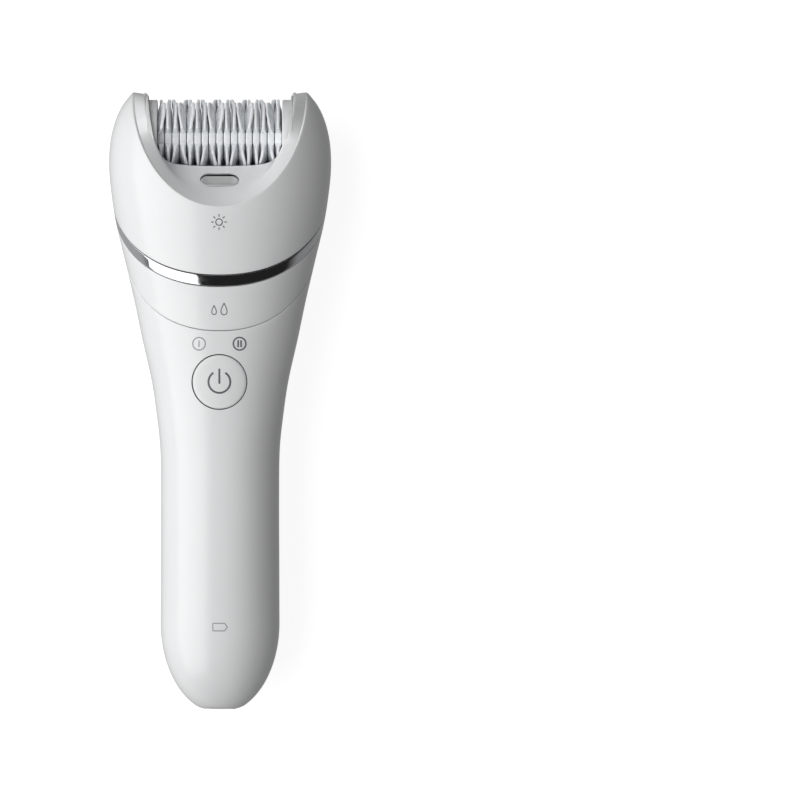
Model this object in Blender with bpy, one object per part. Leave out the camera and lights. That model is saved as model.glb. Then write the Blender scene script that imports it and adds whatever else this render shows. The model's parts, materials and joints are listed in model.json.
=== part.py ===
"""Cordless epilator with a pull-off disc head, lying on its back on a table.

Body coordinates are millimetres: x across the body, h along it from the foot to the head, and f out of
the button face, measured from the seam between the two handle shells. The object lies with its button
face up, so in the world x is +X, h runs along +Y and f is +Z, in metres.
"""

import math

import bmesh
import bpy
from mathutils import Vector

MM = 0.001
LENGTH = 180.0
REST_HEIGHT = 16.5
GAP = 0.3

# The body's cross-section along its length: height h, half width, depth to the front, depth to the back.
BODY_STATIONS = (
    (25.0, 17.35, 14.2, 15.8),
    (42.0, 17.30, 14.6, 16.5),
    (62.0, 17.25, 14.4, 15.8),
    (76.0, 17.45, 14.3, 14.3),
    (86.0, 18.50, 14.4, 13.3),
    (96.0, 20.00, 14.8, 12.9),
    (108.0, 22.70, 16.0, 12.9),
    (119.0, 25.00, 17.6, 13.8),
    (131.0, 27.80, 19.4, 15.2),
    (142.0, 30.40, 20.8, 16.2),
    (151.0, 31.80, 21.3, 16.45),
    (158.0, 32.40, 21.0, 16.4),
    (165.0, 32.10, 20.0, 16.1),
    (171.0, 30.80, 18.4, 15.4),
    (176.0, 28.60, 16.0, 13.6),
    (180.0, 25.50, 13.5, 11.2),
)
SECTION_POWER = 2.2
FOOT_TOP = 25.0
FOOT_RADIUS = 26.3
FOOT_INNER_RADIUS = 24.5
FOOT_FLOOR = 2.5
COLUMN_ANGLES = 40

HANDLE_WALL = 1.8
HEAD_WALL = 1.4
TRIM_WALL = 1.3

# Seams round the body: the head's lower edge, the chrome ring's thickness and the collar's lower edge.
HEAD_SEAM_HEIGHT = 147.1
HEAD_SEAM_SLOPE = 1.103
HEAD_SEAM_FADE = 3.6
RING_FRONT = 3.9
RING_SIDE_EXTRA = 1.4
RING_FULL_DEPTH = 18.7
COLLAR_SEAM_HEIGHT = 131.8
COLLAR_SEAM_SLOPE = 1.32
COLLAR_SEAM_FADE = 3.2

# The scoop in the head: a U across the body whose floor sinks towards the front.
SCOOP_HALF_WIDTH = 25.5
SCOOP_FRONT_DROP = 33.4
SCOOP_BACK_DROP = 13.0
SCOOP_BACK_F = -14.0
SCOOP_FRONT_F = 6.0
SCOOP_DEEP_F = 15.0
RIM_HALF_WIDTH = 21.8
RIM_DROP_SHARE = 0.9
RIM_TIP_DROP = 0.3
RIM_HOLLOW = 1.2
RIM_LIP = 0.7
RIM_REBATE = 2.5
INSERT_WALL = 0.8
LIP_DROP = 1.4
BUSH_HOLE = 2.75

# The disc drum and the trough it turns in.
DRUM_H = 167.5
DRUM_F = 2.0
TROUGH_RADIUS = 11.1
TROUGH_HALF_WIDTH = 21.0
LIP_FRONT_H = 158.4
LIP_BACK_H = 167.5
TROUGH_STEPS = 14
DISC_COUNT = 17
DISC_PITCH = 2.135
DISC_RADIUS = 10.5
DISC_NOTCH_RADIUS = 7.4
DISC_BORE = 1.9
DISC_HUB_THICKNESS = 1.6
DISC_TIP_THICKNESS = 0.85
DISC_LOBES = 4
DISC_NOTCH_PHASE = -9.0
DISC_STAGGER = 0.45
DISC_STEP = 15.0
AXLE_RADIUS = 1.5

# Gears in the head, from the drum down to the input coupling.
HEAD_MODULE = 0.6
DRUM_TEETH = 18
IDLER_TEETH = 16
LAY_TEETH = 12
HEAD_GEAR_LOW = -25.8
HEAD_GEAR_HIGH = -23.6
LAY_H = 149.6
LAY_F = -1.0
LAY_RADIUS = 1.0
BEVEL_MODULE = 0.5
BEVEL_TEETH = 16
BEVEL_SMALL_END = 0.7

# Gears in the neck, from the motor up to the drive shaft.
DRIVE_F = -1.0
NECK_MODULE = 0.5
PINION_TEETH = 12
WHEEL_TEETH = 24
REDUCTION_X = 9.0
LOWER_GEARS = (116.0, 119.0)
UPPER_GEARS = (119.4, 122.4)
PRESSURE_ANGLE = math.radians(20.0)
ADDENDUM = 0.85
DEDENDUM = 1.25
BACKLASH = 0.12

BUTTON_H = 95.4
BUTTON_RADIUS = 7.85
SPEED_LIGHT_X = 5.9
SPEED_LIGHT_H = 106.7
RELEASE_H = 121.0
RELEASE_HALF = (6.0, 4.0)
SPRING_TURNS = 2.5
SPRING_WIRE = 0.13
SPRING_RADIUS = 1.8
SPRING_LOW = -11.4
SPRING_HIGH = -10.4

WHITE_GLOSS = ("white_gloss", (0.86, 0.87, 0.87), 0.18, 0.0)
WHITE_SATIN = ("white_satin", (0.82, 0.83, 0.83), 0.42, 0.0)
CHROME = ("chrome", (0.80, 0.80, 0.81), 0.08, 1.0)
CERAMIC = ("ceramic_disc", (0.72, 0.76, 0.80), 0.25, 0.0)
CLEAR_LENS = ("clear_lens", (0.62, 0.64, 0.66), 0.12, 0.0)
STEEL = ("steel", (0.55, 0.55, 0.56), 0.30, 1.0)
GEAR_WHITE = ("acetal_gear", (0.80, 0.79, 0.74), 0.45, 0.0)
GREY_PLASTIC = ("grey_plastic", (0.22, 0.23, 0.24), 0.50, 0.0)
SEAL_RUBBER = ("seal_rubber", (0.05, 0.05, 0.055), 0.70, 0.0)
CELL_SLEEVE = ("cell_sleeve", (0.07, 0.20, 0.34), 0.35, 0.0)
BOARD_GREEN = ("board_green", (0.02, 0.16, 0.08), 0.45, 0.0)
GOLD_PIN = ("gold_contact", (0.83, 0.62, 0.26), 0.20, 1.0)


def clear_scene():
    for old in list(bpy.data.objects):
        bpy.data.objects.remove(old, do_unlink=True)


def to_world(x, h, f):
    return Vector((x, h - LENGTH / 2, f + REST_HEIGHT)) * MM


def material(look):
    name, colour, roughness, metallic = look
    if name in bpy.data.materials:
        return bpy.data.materials[name]
    made = bpy.data.materials.new(name)
    made.use_nodes = True
    shader = made.node_tree.nodes["Principled BSDF"]
    shader.inputs["Base Color"].default_value = (*colour, 1.0)
    shader.inputs["Roughness"].default_value = roughness
    shader.inputs["Metallic"].default_value = metallic
    return made


def object_from(name, bm, look, origin=(0.0, LENGTH / 2, -REST_HEIGHT)):
    """A named object from a bmesh in body millimetres, with its origin at a body point."""
    place = to_world(*origin)
    for vertex in bm.verts:
        vertex.co = to_world(*vertex.co) - place
    bmesh.ops.recalc_face_normals(bm, faces=bm.faces)
    mesh = bpy.data.meshes.new(name)
    bm.to_mesh(mesh)
    bm.free()
    mesh.shade_smooth()
    mesh.set_sharp_from_angle(angle=math.radians(35.0))
    made = bpy.data.objects.new(name, mesh)
    made.location = place
    made.data.materials.append(material(look))
    bpy.context.scene.collection.objects.link(made)
    return made


def swept(loops, cyclic):
    """A solid through closed loops of equal length: joined round into a ring, or capped at both ends."""
    bm = bmesh.new()
    rings = [[bm.verts.new(point) for point in loop] for loop in loops]
    count = len(rings[0])
    joined = zip(rings, rings[1:] + rings[:1]) if cyclic else zip(rings, rings[1:])
    for ring, following in joined:
        for i in range(count):
            j = (i + 1) % count
            bm.faces.new((ring[i], ring[j], following[j], following[i]))
    if not cyclic:
        bm.faces.new(rings[0])
        bm.faces.new(rings[-1])
    return bm


def prism(outline, holes, low, high, place):
    """An outline with holes in it, in a plane (u, v), pushed from low to high along w."""
    bm = bmesh.new()
    edges = []
    for loop in (outline, *holes):
        corners = [bm.verts.new((u, v, low)) for u, v in loop]
        edges += [bm.edges.new((corners[i - 1], corners[i])) for i in range(len(corners))]
    bmesh.ops.triangle_fill(bm, edges=edges, use_beauty=True, use_dissolve=False)
    pushed = bmesh.ops.extrude_face_region(bm, geom=bm.faces[:])
    for item in pushed["geom"]:
        if isinstance(item, bmesh.types.BMVert):
            item.co.z = high
    for vertex in bm.verts:
        vertex.co = place(*vertex.co)
    return bm


def along_h(x=0.0, f=0.0):
    """A plane across the body at (x, f): u is x, v is f and w is the height h."""
    return lambda u, v, w: (x + u, w, f + v)


def along_x(h=0.0, f=0.0):
    """A plane across the drum axis: u is f, v is h and w is x."""
    return lambda u, v, w: (w, h + v, f + u)


def along_f(x=0.0, h=0.0):
    """A plane facing the button side: u is x, v is h and w is f."""
    return lambda u, v, w: (x + u, h + v, w)


def circle(radius, steps=24, phase=0.0, centre=(0.0, 0.0)):
    turns = [math.tau * i / steps + phase for i in range(steps)]
    return [(centre[0] + radius * math.cos(a), centre[1] + radius * math.sin(a)) for a in turns]


def rectangle(u_low, u_high, v_low, v_high):
    return [(u_low, v_low), (u_high, v_low), (u_high, v_high), (u_low, v_high)]


def rounded(half_u, half_v, corner, steps=4, centre=(0.0, 0.0)):
    """A rectangle with round corners."""
    points = []
    for i, (side_u, side_v) in enumerate(((1, 1), (-1, 1), (-1, -1), (1, -1))):
        for step in range(steps + 1):
            turn = math.radians(90.0 * (i + step / steps))
            u = side_u * (half_u - corner) + corner * math.cos(turn)
            v = side_v * (half_v - corner) + corner * math.sin(turn)
            points.append((centre[0] + u, centre[1] + v))
    return points


def turned(profile, place, steps=24, phase=0.0):
    """A round solid: (radius, w) pairs from one end to the other, with flat ends."""
    rings = []
    for radius, w in profile:
        rings.append([place(u, v, w) for u, v in circle(radius, steps, phase)])
    return swept(rings, cyclic=False)


def turned_ring(profile, place, steps=24):
    """A round solid with a hole down its axis: a closed profile of (radius, w) pairs."""
    loops = []
    for step in range(steps):
        turn = math.tau * step / steps
        loops.append([place(r * math.cos(turn), r * math.sin(turn), w) for r, w in profile])
    return swept(loops, cyclic=True)


def tube(outer, inner, low, high):
    """The profile of a plain bush."""
    return [(inner, low), (outer, low), (outer, high), (inner, high)]


def cut(target, name, bm):
    """Cuts a bmesh out of an object."""
    cutter = object_from(name, bm, GREY_PLASTIC)
    cutter.hide_render = True
    cutter.display_type = "WIRE"
    boolean = target.modifiers.new(name, "BOOLEAN")
    boolean.operation = "DIFFERENCE"
    boolean.solver = "EXACT"
    boolean.object = cutter


def join(target, name, bm):
    """Adds a bmesh to an object as one body with it."""
    added = object_from(name, bm, GREY_PLASTIC)
    added.hide_render = True
    added.display_type = "WIRE"
    boolean = target.modifiers.new(name, "BOOLEAN")
    boolean.operation = "UNION"
    boolean.solver = "EXACT"
    boolean.object = added


def body_size(h, inset=0.0):
    """Half width, front depth and back depth of the body at a height, by a smooth curve through the stations."""
    if h < FOOT_TOP:
        radius = FOOT_RADIUS if inset == 0.0 else FOOT_INNER_RADIUS
        shrink = math.sqrt(max(0.0, 1.0 - ((FOOT_TOP - h) / radius) ** 2))
        return [(size - inset) * shrink for size in BODY_STATIONS[0][1:]]
    last = len(BODY_STATIONS) - 2
    i = next((k for k in range(last) if h < BODY_STATIONS[k + 1][0]), last)
    start, end = BODY_STATIONS[i], BODY_STATIONS[i + 1]
    before = BODY_STATIONS[max(i - 1, 0)]
    after = BODY_STATIONS[min(i + 2, last + 1)]
    span = end[0] - start[0]
    t = min(max((h - start[0]) / span, 0.0), 1.0)
    sizes = []
    for k in (1, 2, 3):
        slope_start = (end[k] - before[k]) / (end[0] - before[0]) * span
        slope_end = (after[k] - start[k]) / (after[0] - start[0]) * span
        rise = end[k] - start[k]
        curve = (slope_start + slope_end - 2 * rise) * t**3
        curve += (3 * rise - 2 * slope_start - slope_end) * t**2
        sizes.append(start[k] + slope_start * t + curve - inset)
    return sizes


def powered(value, power):
    return math.copysign(abs(value) ** power, value)


def skin(angle, h, inset=0.0):
    """The point of the body's surface at an angle round it: 0 is +x and 90 degrees is the button face."""
    width, front, back = body_size(h, inset)
    across = width * powered(math.cos(angle), 2 / SECTION_POWER)
    out = powered(math.sin(angle), 2 / SECTION_POWER)
    return (across, h, out * (front if out > 0 else back))


def skin_front(x, h):
    """How far out the button face is at (x, h)."""
    width, front, _ = body_size(h)
    return front * (1 - (abs(x) / width) ** SECTION_POWER) ** (1 / SECTION_POWER)


def seam_line(f, height, slope, fade):
    """A seam that falls towards the front and flattens towards the back."""
    if f >= 0:
        return height - slope * f
    return height + slope * fade * (1 - math.exp(f / fade))


def ring_thickness(f):
    return RING_FRONT + RING_SIDE_EXTRA * (1 - min(max(f / RING_FULL_DEPTH, 0.0), 1.0)) ** 2


def head_seam(f):
    return seam_line(f, HEAD_SEAM_HEIGHT, HEAD_SEAM_SLOPE, HEAD_SEAM_FADE)


def ring_seam(f):
    return head_seam(f) - ring_thickness(f)


def collar_seam(f):
    return seam_line(f, COLLAR_SEAM_HEIGHT, COLLAR_SEAM_SLOPE, COLLAR_SEAM_FADE)


def seam_height(angle, seam):
    """The height where a seam crosses the body's surface at an angle."""
    h = seam(0.0)
    for _ in range(30):
        h = seam(skin(angle, h)[2])
    return h


def scoop_drop(f):
    """How far the scoop's floor lies below the tips of the head, from shallow at the back to deep in front."""
    t = min(max((f - SCOOP_BACK_F) / (SCOOP_FRONT_F - SCOOP_BACK_F), 0.0), 1.0)
    return SCOOP_BACK_DROP + (SCOOP_FRONT_DROP - SCOOP_BACK_DROP) * t * t * (3 - 2 * t)


def scoop_height(x, f):
    """The height of the scoop's surface over a point of the body's cross-section."""
    across = min(abs(x) / SCOOP_HALF_WIDTH, 1.0)
    return LENGTH - scoop_drop(f) * math.sqrt(1 - across**2)


def rim_height(angle):
    """The height where the scoop meets the body's surface at an angle."""
    low, high = 140.0, LENGTH
    for _ in range(40):
        middle = (low + high) / 2
        x, h, f = skin(angle, middle)
        low, high = (middle, high) if h < scoop_height(x, f) else (low, middle)
    return low


def column_angles(first=0.0, last=360.0):
    step = 360.0 / COLUMN_ANGLES
    return [math.radians(first + step * i) for i in range(round((last - first) / step) + 1)]


def band(name, low_seam, high_seam, wall, look, rows=3):
    """A ring of the body's skin between two seams, with a gap at each."""
    loops = []
    for angle in column_angles()[:-1]:
        low = seam_height(angle, low_seam) + GAP / 2
        high = seam_height(angle, high_seam) - GAP / 2
        heights = [low + (high - low) * i / (rows - 1) for i in range(rows)]
        outer = [skin(angle, h) for h in heights]
        inner = [skin(angle, h, wall) for h in reversed(heights)]
        loops.append(outer + inner)
    return object_from(name, swept(loops, cyclic=True), look)


def handle_shell(name, first, last):
    """One half of the handle, from the charging socket in the foot up to the collar's seam."""
    outer_heights = (0.0, 1.0, 3.0, 6.0, 10.0, 16.0, 25.0, 45.0, 62.0, 76.0, 86.0, 96.0, 104.0)
    inner_heights = (4.0, 8.0, 14.0, 25.0, 45.0, 62.0, 76.0, 90.0, 104.0)
    socket = (4.7, 3.4)
    side = 1 if last <= 180.0 else -1
    loops = []
    for angle in column_angles(first, last):
        top = seam_height(angle, collar_seam) - GAP / 2
        middle = (outer_heights[-1] + top) / 2
        outer = [skin(angle, h) for h in (*outer_heights, middle, top)]
        inner = [skin(angle, h, HANDLE_WALL) for h in reversed((*inner_heights, top))]
        mouth_x = socket[0] * powered(math.cos(angle), 0.5)
        mouth_f = socket[1] * powered(math.sin(angle), 0.5)
        mouth = [(mouth_x, FOOT_FLOOR, mouth_f), (mouth_x, 0.0, mouth_f)]
        loop = outer + inner + mouth
        loops.append([(x, h, side * max(side * f, GAP / 2)) for x, h, f in loop])
    return object_from(name, swept(loops, cyclic=False), WHITE_GLOSS)


def head_shell():
    """The head's outer shell, with a rebate inside its rim for the insert."""
    loops = []
    for angle in column_angles()[:-1]:
        low = seam_height(angle, head_seam) + GAP / 2
        high = rim_height(angle)
        heights = [low + (high - low) * i / 6 for i in range(7)]
        outer = [skin(angle, h) for h in heights]
        ledge = high - RIM_REBATE
        inner = [
            skin(angle, high, RIM_LIP),
            skin(angle, ledge, RIM_LIP),
            skin(angle, ledge - GAP, HEAD_WALL),
            skin(angle, (low + ledge) / 2, HEAD_WALL),
            skin(angle, low, HEAD_WALL),
        ]
        loops.append(outer + inner)
    return object_from("head_shell", swept(loops, cyclic=True), WHITE_GLOSS)


def opening_point(angle):
    """The drum opening's edge, which lies on the trough's cylinder: x and the turn about the drum axis."""
    quadrant, within = divmod(angle, math.pi / 2)
    share = within / (math.pi / 2)
    if quadrant % 2:
        share = 1 - share
    side = math.cos(math.pi / 2 * (share**1.75 + 1.2 * share**4 * (1 - share)))
    x = math.copysign(TROUGH_HALF_WIDTH * side**0.4, math.cos(angle))
    lip = LIP_FRONT_H if math.sin(angle) > 0 else LIP_BACK_H
    h = lip + (DRUM_H + TROUGH_RADIUS - lip) * side**4
    return x, math.asin(min((h - DRUM_H) / TROUGH_RADIUS, 1.0))


def rim_points(angle):
    """Across the band at an angle: its edge at the shell, the crease inside it and the drum opening's edge."""
    edge = Vector(skin(angle, rim_height(angle), RIM_LIP + GAP))
    front = 1 if math.sin(angle) >= 0 else -1
    lip_x, rise = opening_point(angle)
    lip = Vector((lip_x, DRUM_H + TROUGH_RADIUS * math.sin(rise),
                  DRUM_F + front * TROUGH_RADIUS * math.cos(rise)))
    drop = (LENGTH - edge.y) * RIM_DROP_SHARE
    floor = scoop_drop(front * SCOOP_DEEP_F) * RIM_DROP_SHARE
    crease = Vector((0.0, LENGTH - RIM_TIP_DROP - drop, 0.0))
    crease.x = math.copysign(RIM_HALF_WIDTH * math.sqrt(max(1 - (drop / floor) ** 2, 0.0)), edge.x)
    share = (crease - edge).xy.length / ((crease - edge).xy.length + (lip - crease).xy.length)
    crease.z = edge.z + (lip.z - edge.z) * share - front * RIM_HOLLOW * abs(math.sin(2 * angle))
    reach = math.hypot(crease.y - DRUM_H, crease.z - DRUM_F)
    clear = max(TROUGH_RADIUS + INSERT_WALL * 2.2, reach)
    crease.z = DRUM_F + front * math.sqrt(clear**2 - (crease.y - DRUM_H) ** 2)
    return edge, crease, lip


def trough_strips(bm, lips, radii, stretch, starts):
    """Strips round the trough from its front lip to its back lip, one for each x across it."""
    strips = []
    for i in range(COLUMN_ANGLES // 2 + 1):
        radius = radii[i]
        start, end = starts[i], -math.pi - starts[-i]
        x = opening_point(column_angles()[i])[0] * stretch
        strip = [lips[i]]
        for step in range(1, TROUGH_STEPS):
            turn = start + (end - start) * step / TROUGH_STEPS
            h, f = DRUM_H + radius * math.sin(turn), DRUM_F + radius * math.cos(turn)
            strip.append(bm.verts.new((x, h, f)))
        strip.append(lips[-i % COLUMN_ANGLES])
        strips.append(strip)
    return strips


def insert_side(bm, columns, strips):
    """Joins one face of the insert: the band, the trough and its end walls. It returns the two bush holes."""
    for i in range(COLUMN_ANGLES):
        here, there = columns[i - 1], columns[i]
        for k in range(2):
            bm.faces.new((here[k], there[k], there[k + 1], here[k + 1]))
    for strip, following in zip(strips, strips[1:]):
        for k in range(TROUGH_STEPS):
            corners = [strip[k], strip[k + 1], following[k + 1], following[k]]
            bm.faces.new(list(dict.fromkeys(corners)))
    hubs = []
    for strip in (strips[0], strips[-1]):
        wall = strip[:-1]
        hub = []
        for corner in wall:
            arm = Vector((0, corner.co.y - DRUM_H, corner.co.z - DRUM_F)).normalized() * BUSH_HOLE
            hub.append(bm.verts.new((corner.co.x, DRUM_H + arm.y, DRUM_F + arm.z)))
        for k in range(len(wall)):
            bm.faces.new((wall[k - 1], wall[k], hub[k], hub[k - 1]))
        hubs.append(hub)
    return hubs


def clear_of_trough(crease, edge, out):
    """The point under the band, as near its crease as the trough's own wall leaves room for."""
    for step in range(13):
        point = crease.lerp(edge, step * 0.06) - out
        reach = math.hypot(point.y - DRUM_H, point.z - DRUM_F)
        if reach > TROUGH_RADIUS + INSERT_WALL * 1.3 or abs(point.x) > TROUGH_HALF_WIDTH + INSERT_WALL * 1.3:
            break
    return point


def insert_body():
    """The scooped band and the trough under the drum, as one thin wall with round holes for the bushes."""
    bm = bmesh.new()
    angles = column_angles()[:-1]
    outside = [rim_points(angle) for angle in angles]
    inside = []
    radii, starts = [], []
    stretch = (TROUGH_HALF_WIDTH + INSERT_WALL) / TROUGH_HALF_WIDTH
    for i, (angle, (edge, crease, lip)) in enumerate(zip(angles, outside)):
        front = 1 if math.sin(angle) >= 0 else -1
        along = outside[(i + 1) % COLUMN_ANGLES][1] - outside[i - 1][1]
        out = along.cross(lip - edge).normalized()
        out *= math.copysign(INSERT_WALL, out.dot(Vector((0, 1, front))))
        corner = min((TROUGH_HALF_WIDTH - abs(lip.x)) / 0.9, 1.0) ** 0.5
        rise = lip.y - DRUM_H - LIP_DROP
        radius = TROUGH_RADIUS - LIP_DROP + (INSERT_WALL + LIP_DROP) * corner
        turn = math.asin(min(rise / radius, 1.0))
        radii.append(radius)
        starts.append(turn)
        under = Vector((lip.x * stretch, DRUM_H + radius * math.sin(turn),
                        DRUM_F + front * radius * math.cos(turn)))
        tucked = Vector(skin(angle, edge.y - LIP_DROP / 2, RIM_LIP + GAP + INSERT_WALL))
        inside.append((tucked, clear_of_trough(crease, edge, out), under))
    outer = [[bm.verts.new(point) for point in column] for column in outside]
    inner = [[bm.verts.new(point) for point in column] for column in inside]
    plain = [opening_point(angle)[1] for angle in angles]
    hubs = []
    for columns, reach, scale, turns in (
        (outer, [TROUGH_RADIUS] * COLUMN_ANGLES, 1.0, plain),
        (inner, radii, stretch, starts),
    ):
        lips = [column[2] for column in columns]
        hubs.append(insert_side(bm, columns, trough_strips(bm, lips, reach, scale, turns)))
    for i in range(COLUMN_ANGLES):
        bm.faces.new((outer[i - 1][0], outer[i][0], inner[i][0], inner[i - 1][0]))
    for face, back in zip(*hubs):
        for k in range(len(face)):
            bm.faces.new((face[k - 1], face[k], back[k], back[k - 1]))
    return bm


def window_outline(half_width, half_height):
    return rounded(half_width, half_height, half_height - 0.01, steps=5)


def on_ramp(u, v, w):
    """The light window's plane: u across, v up the ramp and w out of it."""
    lean = math.radians(45.0)
    out = Vector((0, math.sin(lean), math.cos(lean)))
    up = Vector((0, math.cos(lean), -math.sin(lean)))
    return Vector((u, 154.6, 13.3)) + up * v + out * w


def head_insert():
    made = object_from("head_insert", insert_body(), WHITE_GLOSS)
    cut(made, "window_hole", prism(window_outline(5.8, 3.1), [], -4.0, 4.0, on_ramp))


def gear_outline(teeth, module, phase=0.0, widen=1.0, pitch_radius=None):
    """Straight-sided teeth through the involute's corners. A bevel gear's teeth are widened from its back cone."""
    radius = pitch_radius or teeth * module / 2
    base = radius * math.cos(PRESSURE_ANGLE)
    involute = math.tan(PRESSURE_ANGLE) - PRESSURE_ANGLE
    half_pitch = module * math.pi / 4 / radius

    def half_angle(reach):
        pressure = math.acos(min(base / max(reach, base), 1.0))
        return half_pitch + involute - (math.tan(pressure) - pressure) - BACKLASH / 2 / radius

    root, tip = radius - DEDENDUM * module, radius + ADDENDUM * module
    points = []
    for tooth in range(teeth):
        middle = phase + math.tau * tooth / teeth
        root_turn, tip_turn = half_angle(root) * widen, half_angle(tip) * widen
        for reach, turn in ((root, -root_turn), (tip, -tip_turn), (tip, tip_turn), (root, root_turn)):
            points.append((reach * math.cos(middle + turn), reach * math.sin(middle + turn)))
    return points


def bevel_rings(phase):
    """The big end and the small end of a 45 degree bevel gear, about w, with the apex at w = 0."""
    pitch = BEVEL_TEETH * BEVEL_MODULE / 2
    cone = pitch * math.sqrt(2)
    outline = gear_outline(BEVEL_TEETH, BEVEL_MODULE, phase, math.sqrt(2), cone)
    rings = []
    for scale in (1.0, BEVEL_SMALL_END):
        ring = []
        for u, v in outline:
            reach = math.hypot(u, v)
            lean = math.radians(45.0) + math.atan((reach - cone) / cone)
            factor = pitch * math.tan(lean) / reach * scale
            ring.append((u * factor, v * factor, -pitch * scale))
        rings.append(ring)
    return rings


def spur_gear(name, teeth, module, phase, low, high, bore, place, origin, look=GEAR_WHITE):
    outline = gear_outline(teeth, module, phase)
    holes = [circle(bore, 16)] if bore else []
    return object_from(name, prism(outline, holes, low, high, place), look, origin)


def disc_shift(index, lobe):
    """How far a lobe leans towards the neighbour that it pinches hairs against."""
    towards = 1 if (index + lobe) % 2 == 0 else -1
    if index == DISC_COUNT - 1 and towards > 0:
        towards = 0
    lean = DISC_PITCH / 2 - (DISC_TIP_THICKNESS + GAP) / 2
    pair = index + (towards - 1) // 2
    return towards * lean + DISC_STAGGER * (-1) ** (pair // 2 + lobe) * abs(towards)


def disc(index):
    """One notched ceramic disc: a flat hub whose four lobes lean left or right by turns."""
    x = (index - (DISC_COUNT - 1) / 2) * DISC_PITCH
    steps = round(360 / DISC_STEP)
    per_lobe = steps // DISC_LOBES
    loops = []
    for step in range(steps):
        turn = math.radians(DISC_NOTCH_PHASE + DISC_STEP * (step + 0.5))
        lobe, place = divmod(step, per_lobe)
        in_notch = place in (0, per_lobe - 1)
        reach = DISC_NOTCH_RADIUS if in_notch else DISC_RADIUS
        share = (reach - DISC_BORE) / (DISC_RADIUS - DISC_BORE)
        thickness = DISC_HUB_THICKNESS + (DISC_TIP_THICKNESS - DISC_HUB_THICKNESS) * share
        shift = disc_shift(index, lobe) * (0.0 if in_notch else 1.0)
        loop = []
        for radius, offset in (
            (DISC_BORE, -DISC_HUB_THICKNESS / 2),
            (reach, shift - thickness / 2),
            (reach, shift + thickness / 2),
            (DISC_BORE, DISC_HUB_THICKNESS / 2),
        ):
            loop.append((x + offset, DRUM_H + radius * math.sin(turn), DRUM_F + radius * math.cos(turn)))
        loops.append(loop)
    origin = (x, DRUM_H, DRUM_F)
    object_from(f"disc_{index + 1:02d}", swept(loops, cyclic=True), CERAMIC, origin)


def drum():
    axis = along_x(DRUM_H, DRUM_F)
    origin = (0.0, DRUM_H, DRUM_F)
    for index in range(DISC_COUNT):
        disc(index)
    axle = turned([(AXLE_RADIUS, -26.2), (AXLE_RADIUS, 22.6)], axis, 16)
    object_from("drum_axle", axle, STEEL, origin)
    spur_gear("drum_gear", DRUM_TEETH, HEAD_MODULE, 0.0, HEAD_GEAR_LOW, HEAD_GEAR_HIGH,
              AXLE_RADIUS + GAP, axis, origin)
    for name, side in (("left", -1), ("right", 1)):
        inner, outer = sorted((side * 21.0, side * 22.4))
        bush = turned_ring(tube(2.4, AXLE_RADIUS + GAP, inner, outer), axis, 20)
        object_from(f"axle_bush_{name}", bush, STEEL, (side * 21.7, DRUM_H, DRUM_F))
        inner, outer = sorted((side * 18.9, side * 20.6))
        cover = turned_ring(tube(9.6, 3.0, inner, outer), axis, 24)
        object_from(f"disc_side_cover_{name}", cover, WHITE_SATIN, (side * 19.7, DRUM_H, DRUM_F))


def idler_centre():
    """The idler touches the lay gear and the drum gear, on the back side of the line between them."""
    to_lay = (LAY_TEETH + IDLER_TEETH) * HEAD_MODULE / 2
    to_drum = (DRUM_TEETH + IDLER_TEETH) * HEAD_MODULE / 2
    rise, out = DRUM_H - LAY_H, DRUM_F - LAY_F
    span = math.hypot(rise, out)
    along = (span**2 + to_lay**2 - to_drum**2) / (2 * span)
    aside = math.sqrt(to_lay**2 - along**2)
    h = LAY_H + (rise * along + out * aside) / span
    f = LAY_F + (out * along - rise * aside) / span
    return h, f


def meshed_phase(teeth, driver_teeth, driver_phase, direction):
    """The turn of a gear that puts a gap where the driver's tooth comes, along a line between centres."""
    tooth = (direction - driver_phase) * driver_teeth / math.tau
    offset = (tooth - math.floor(tooth)) * math.tau / teeth
    return direction + math.pi + offset + math.pi / teeth


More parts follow.
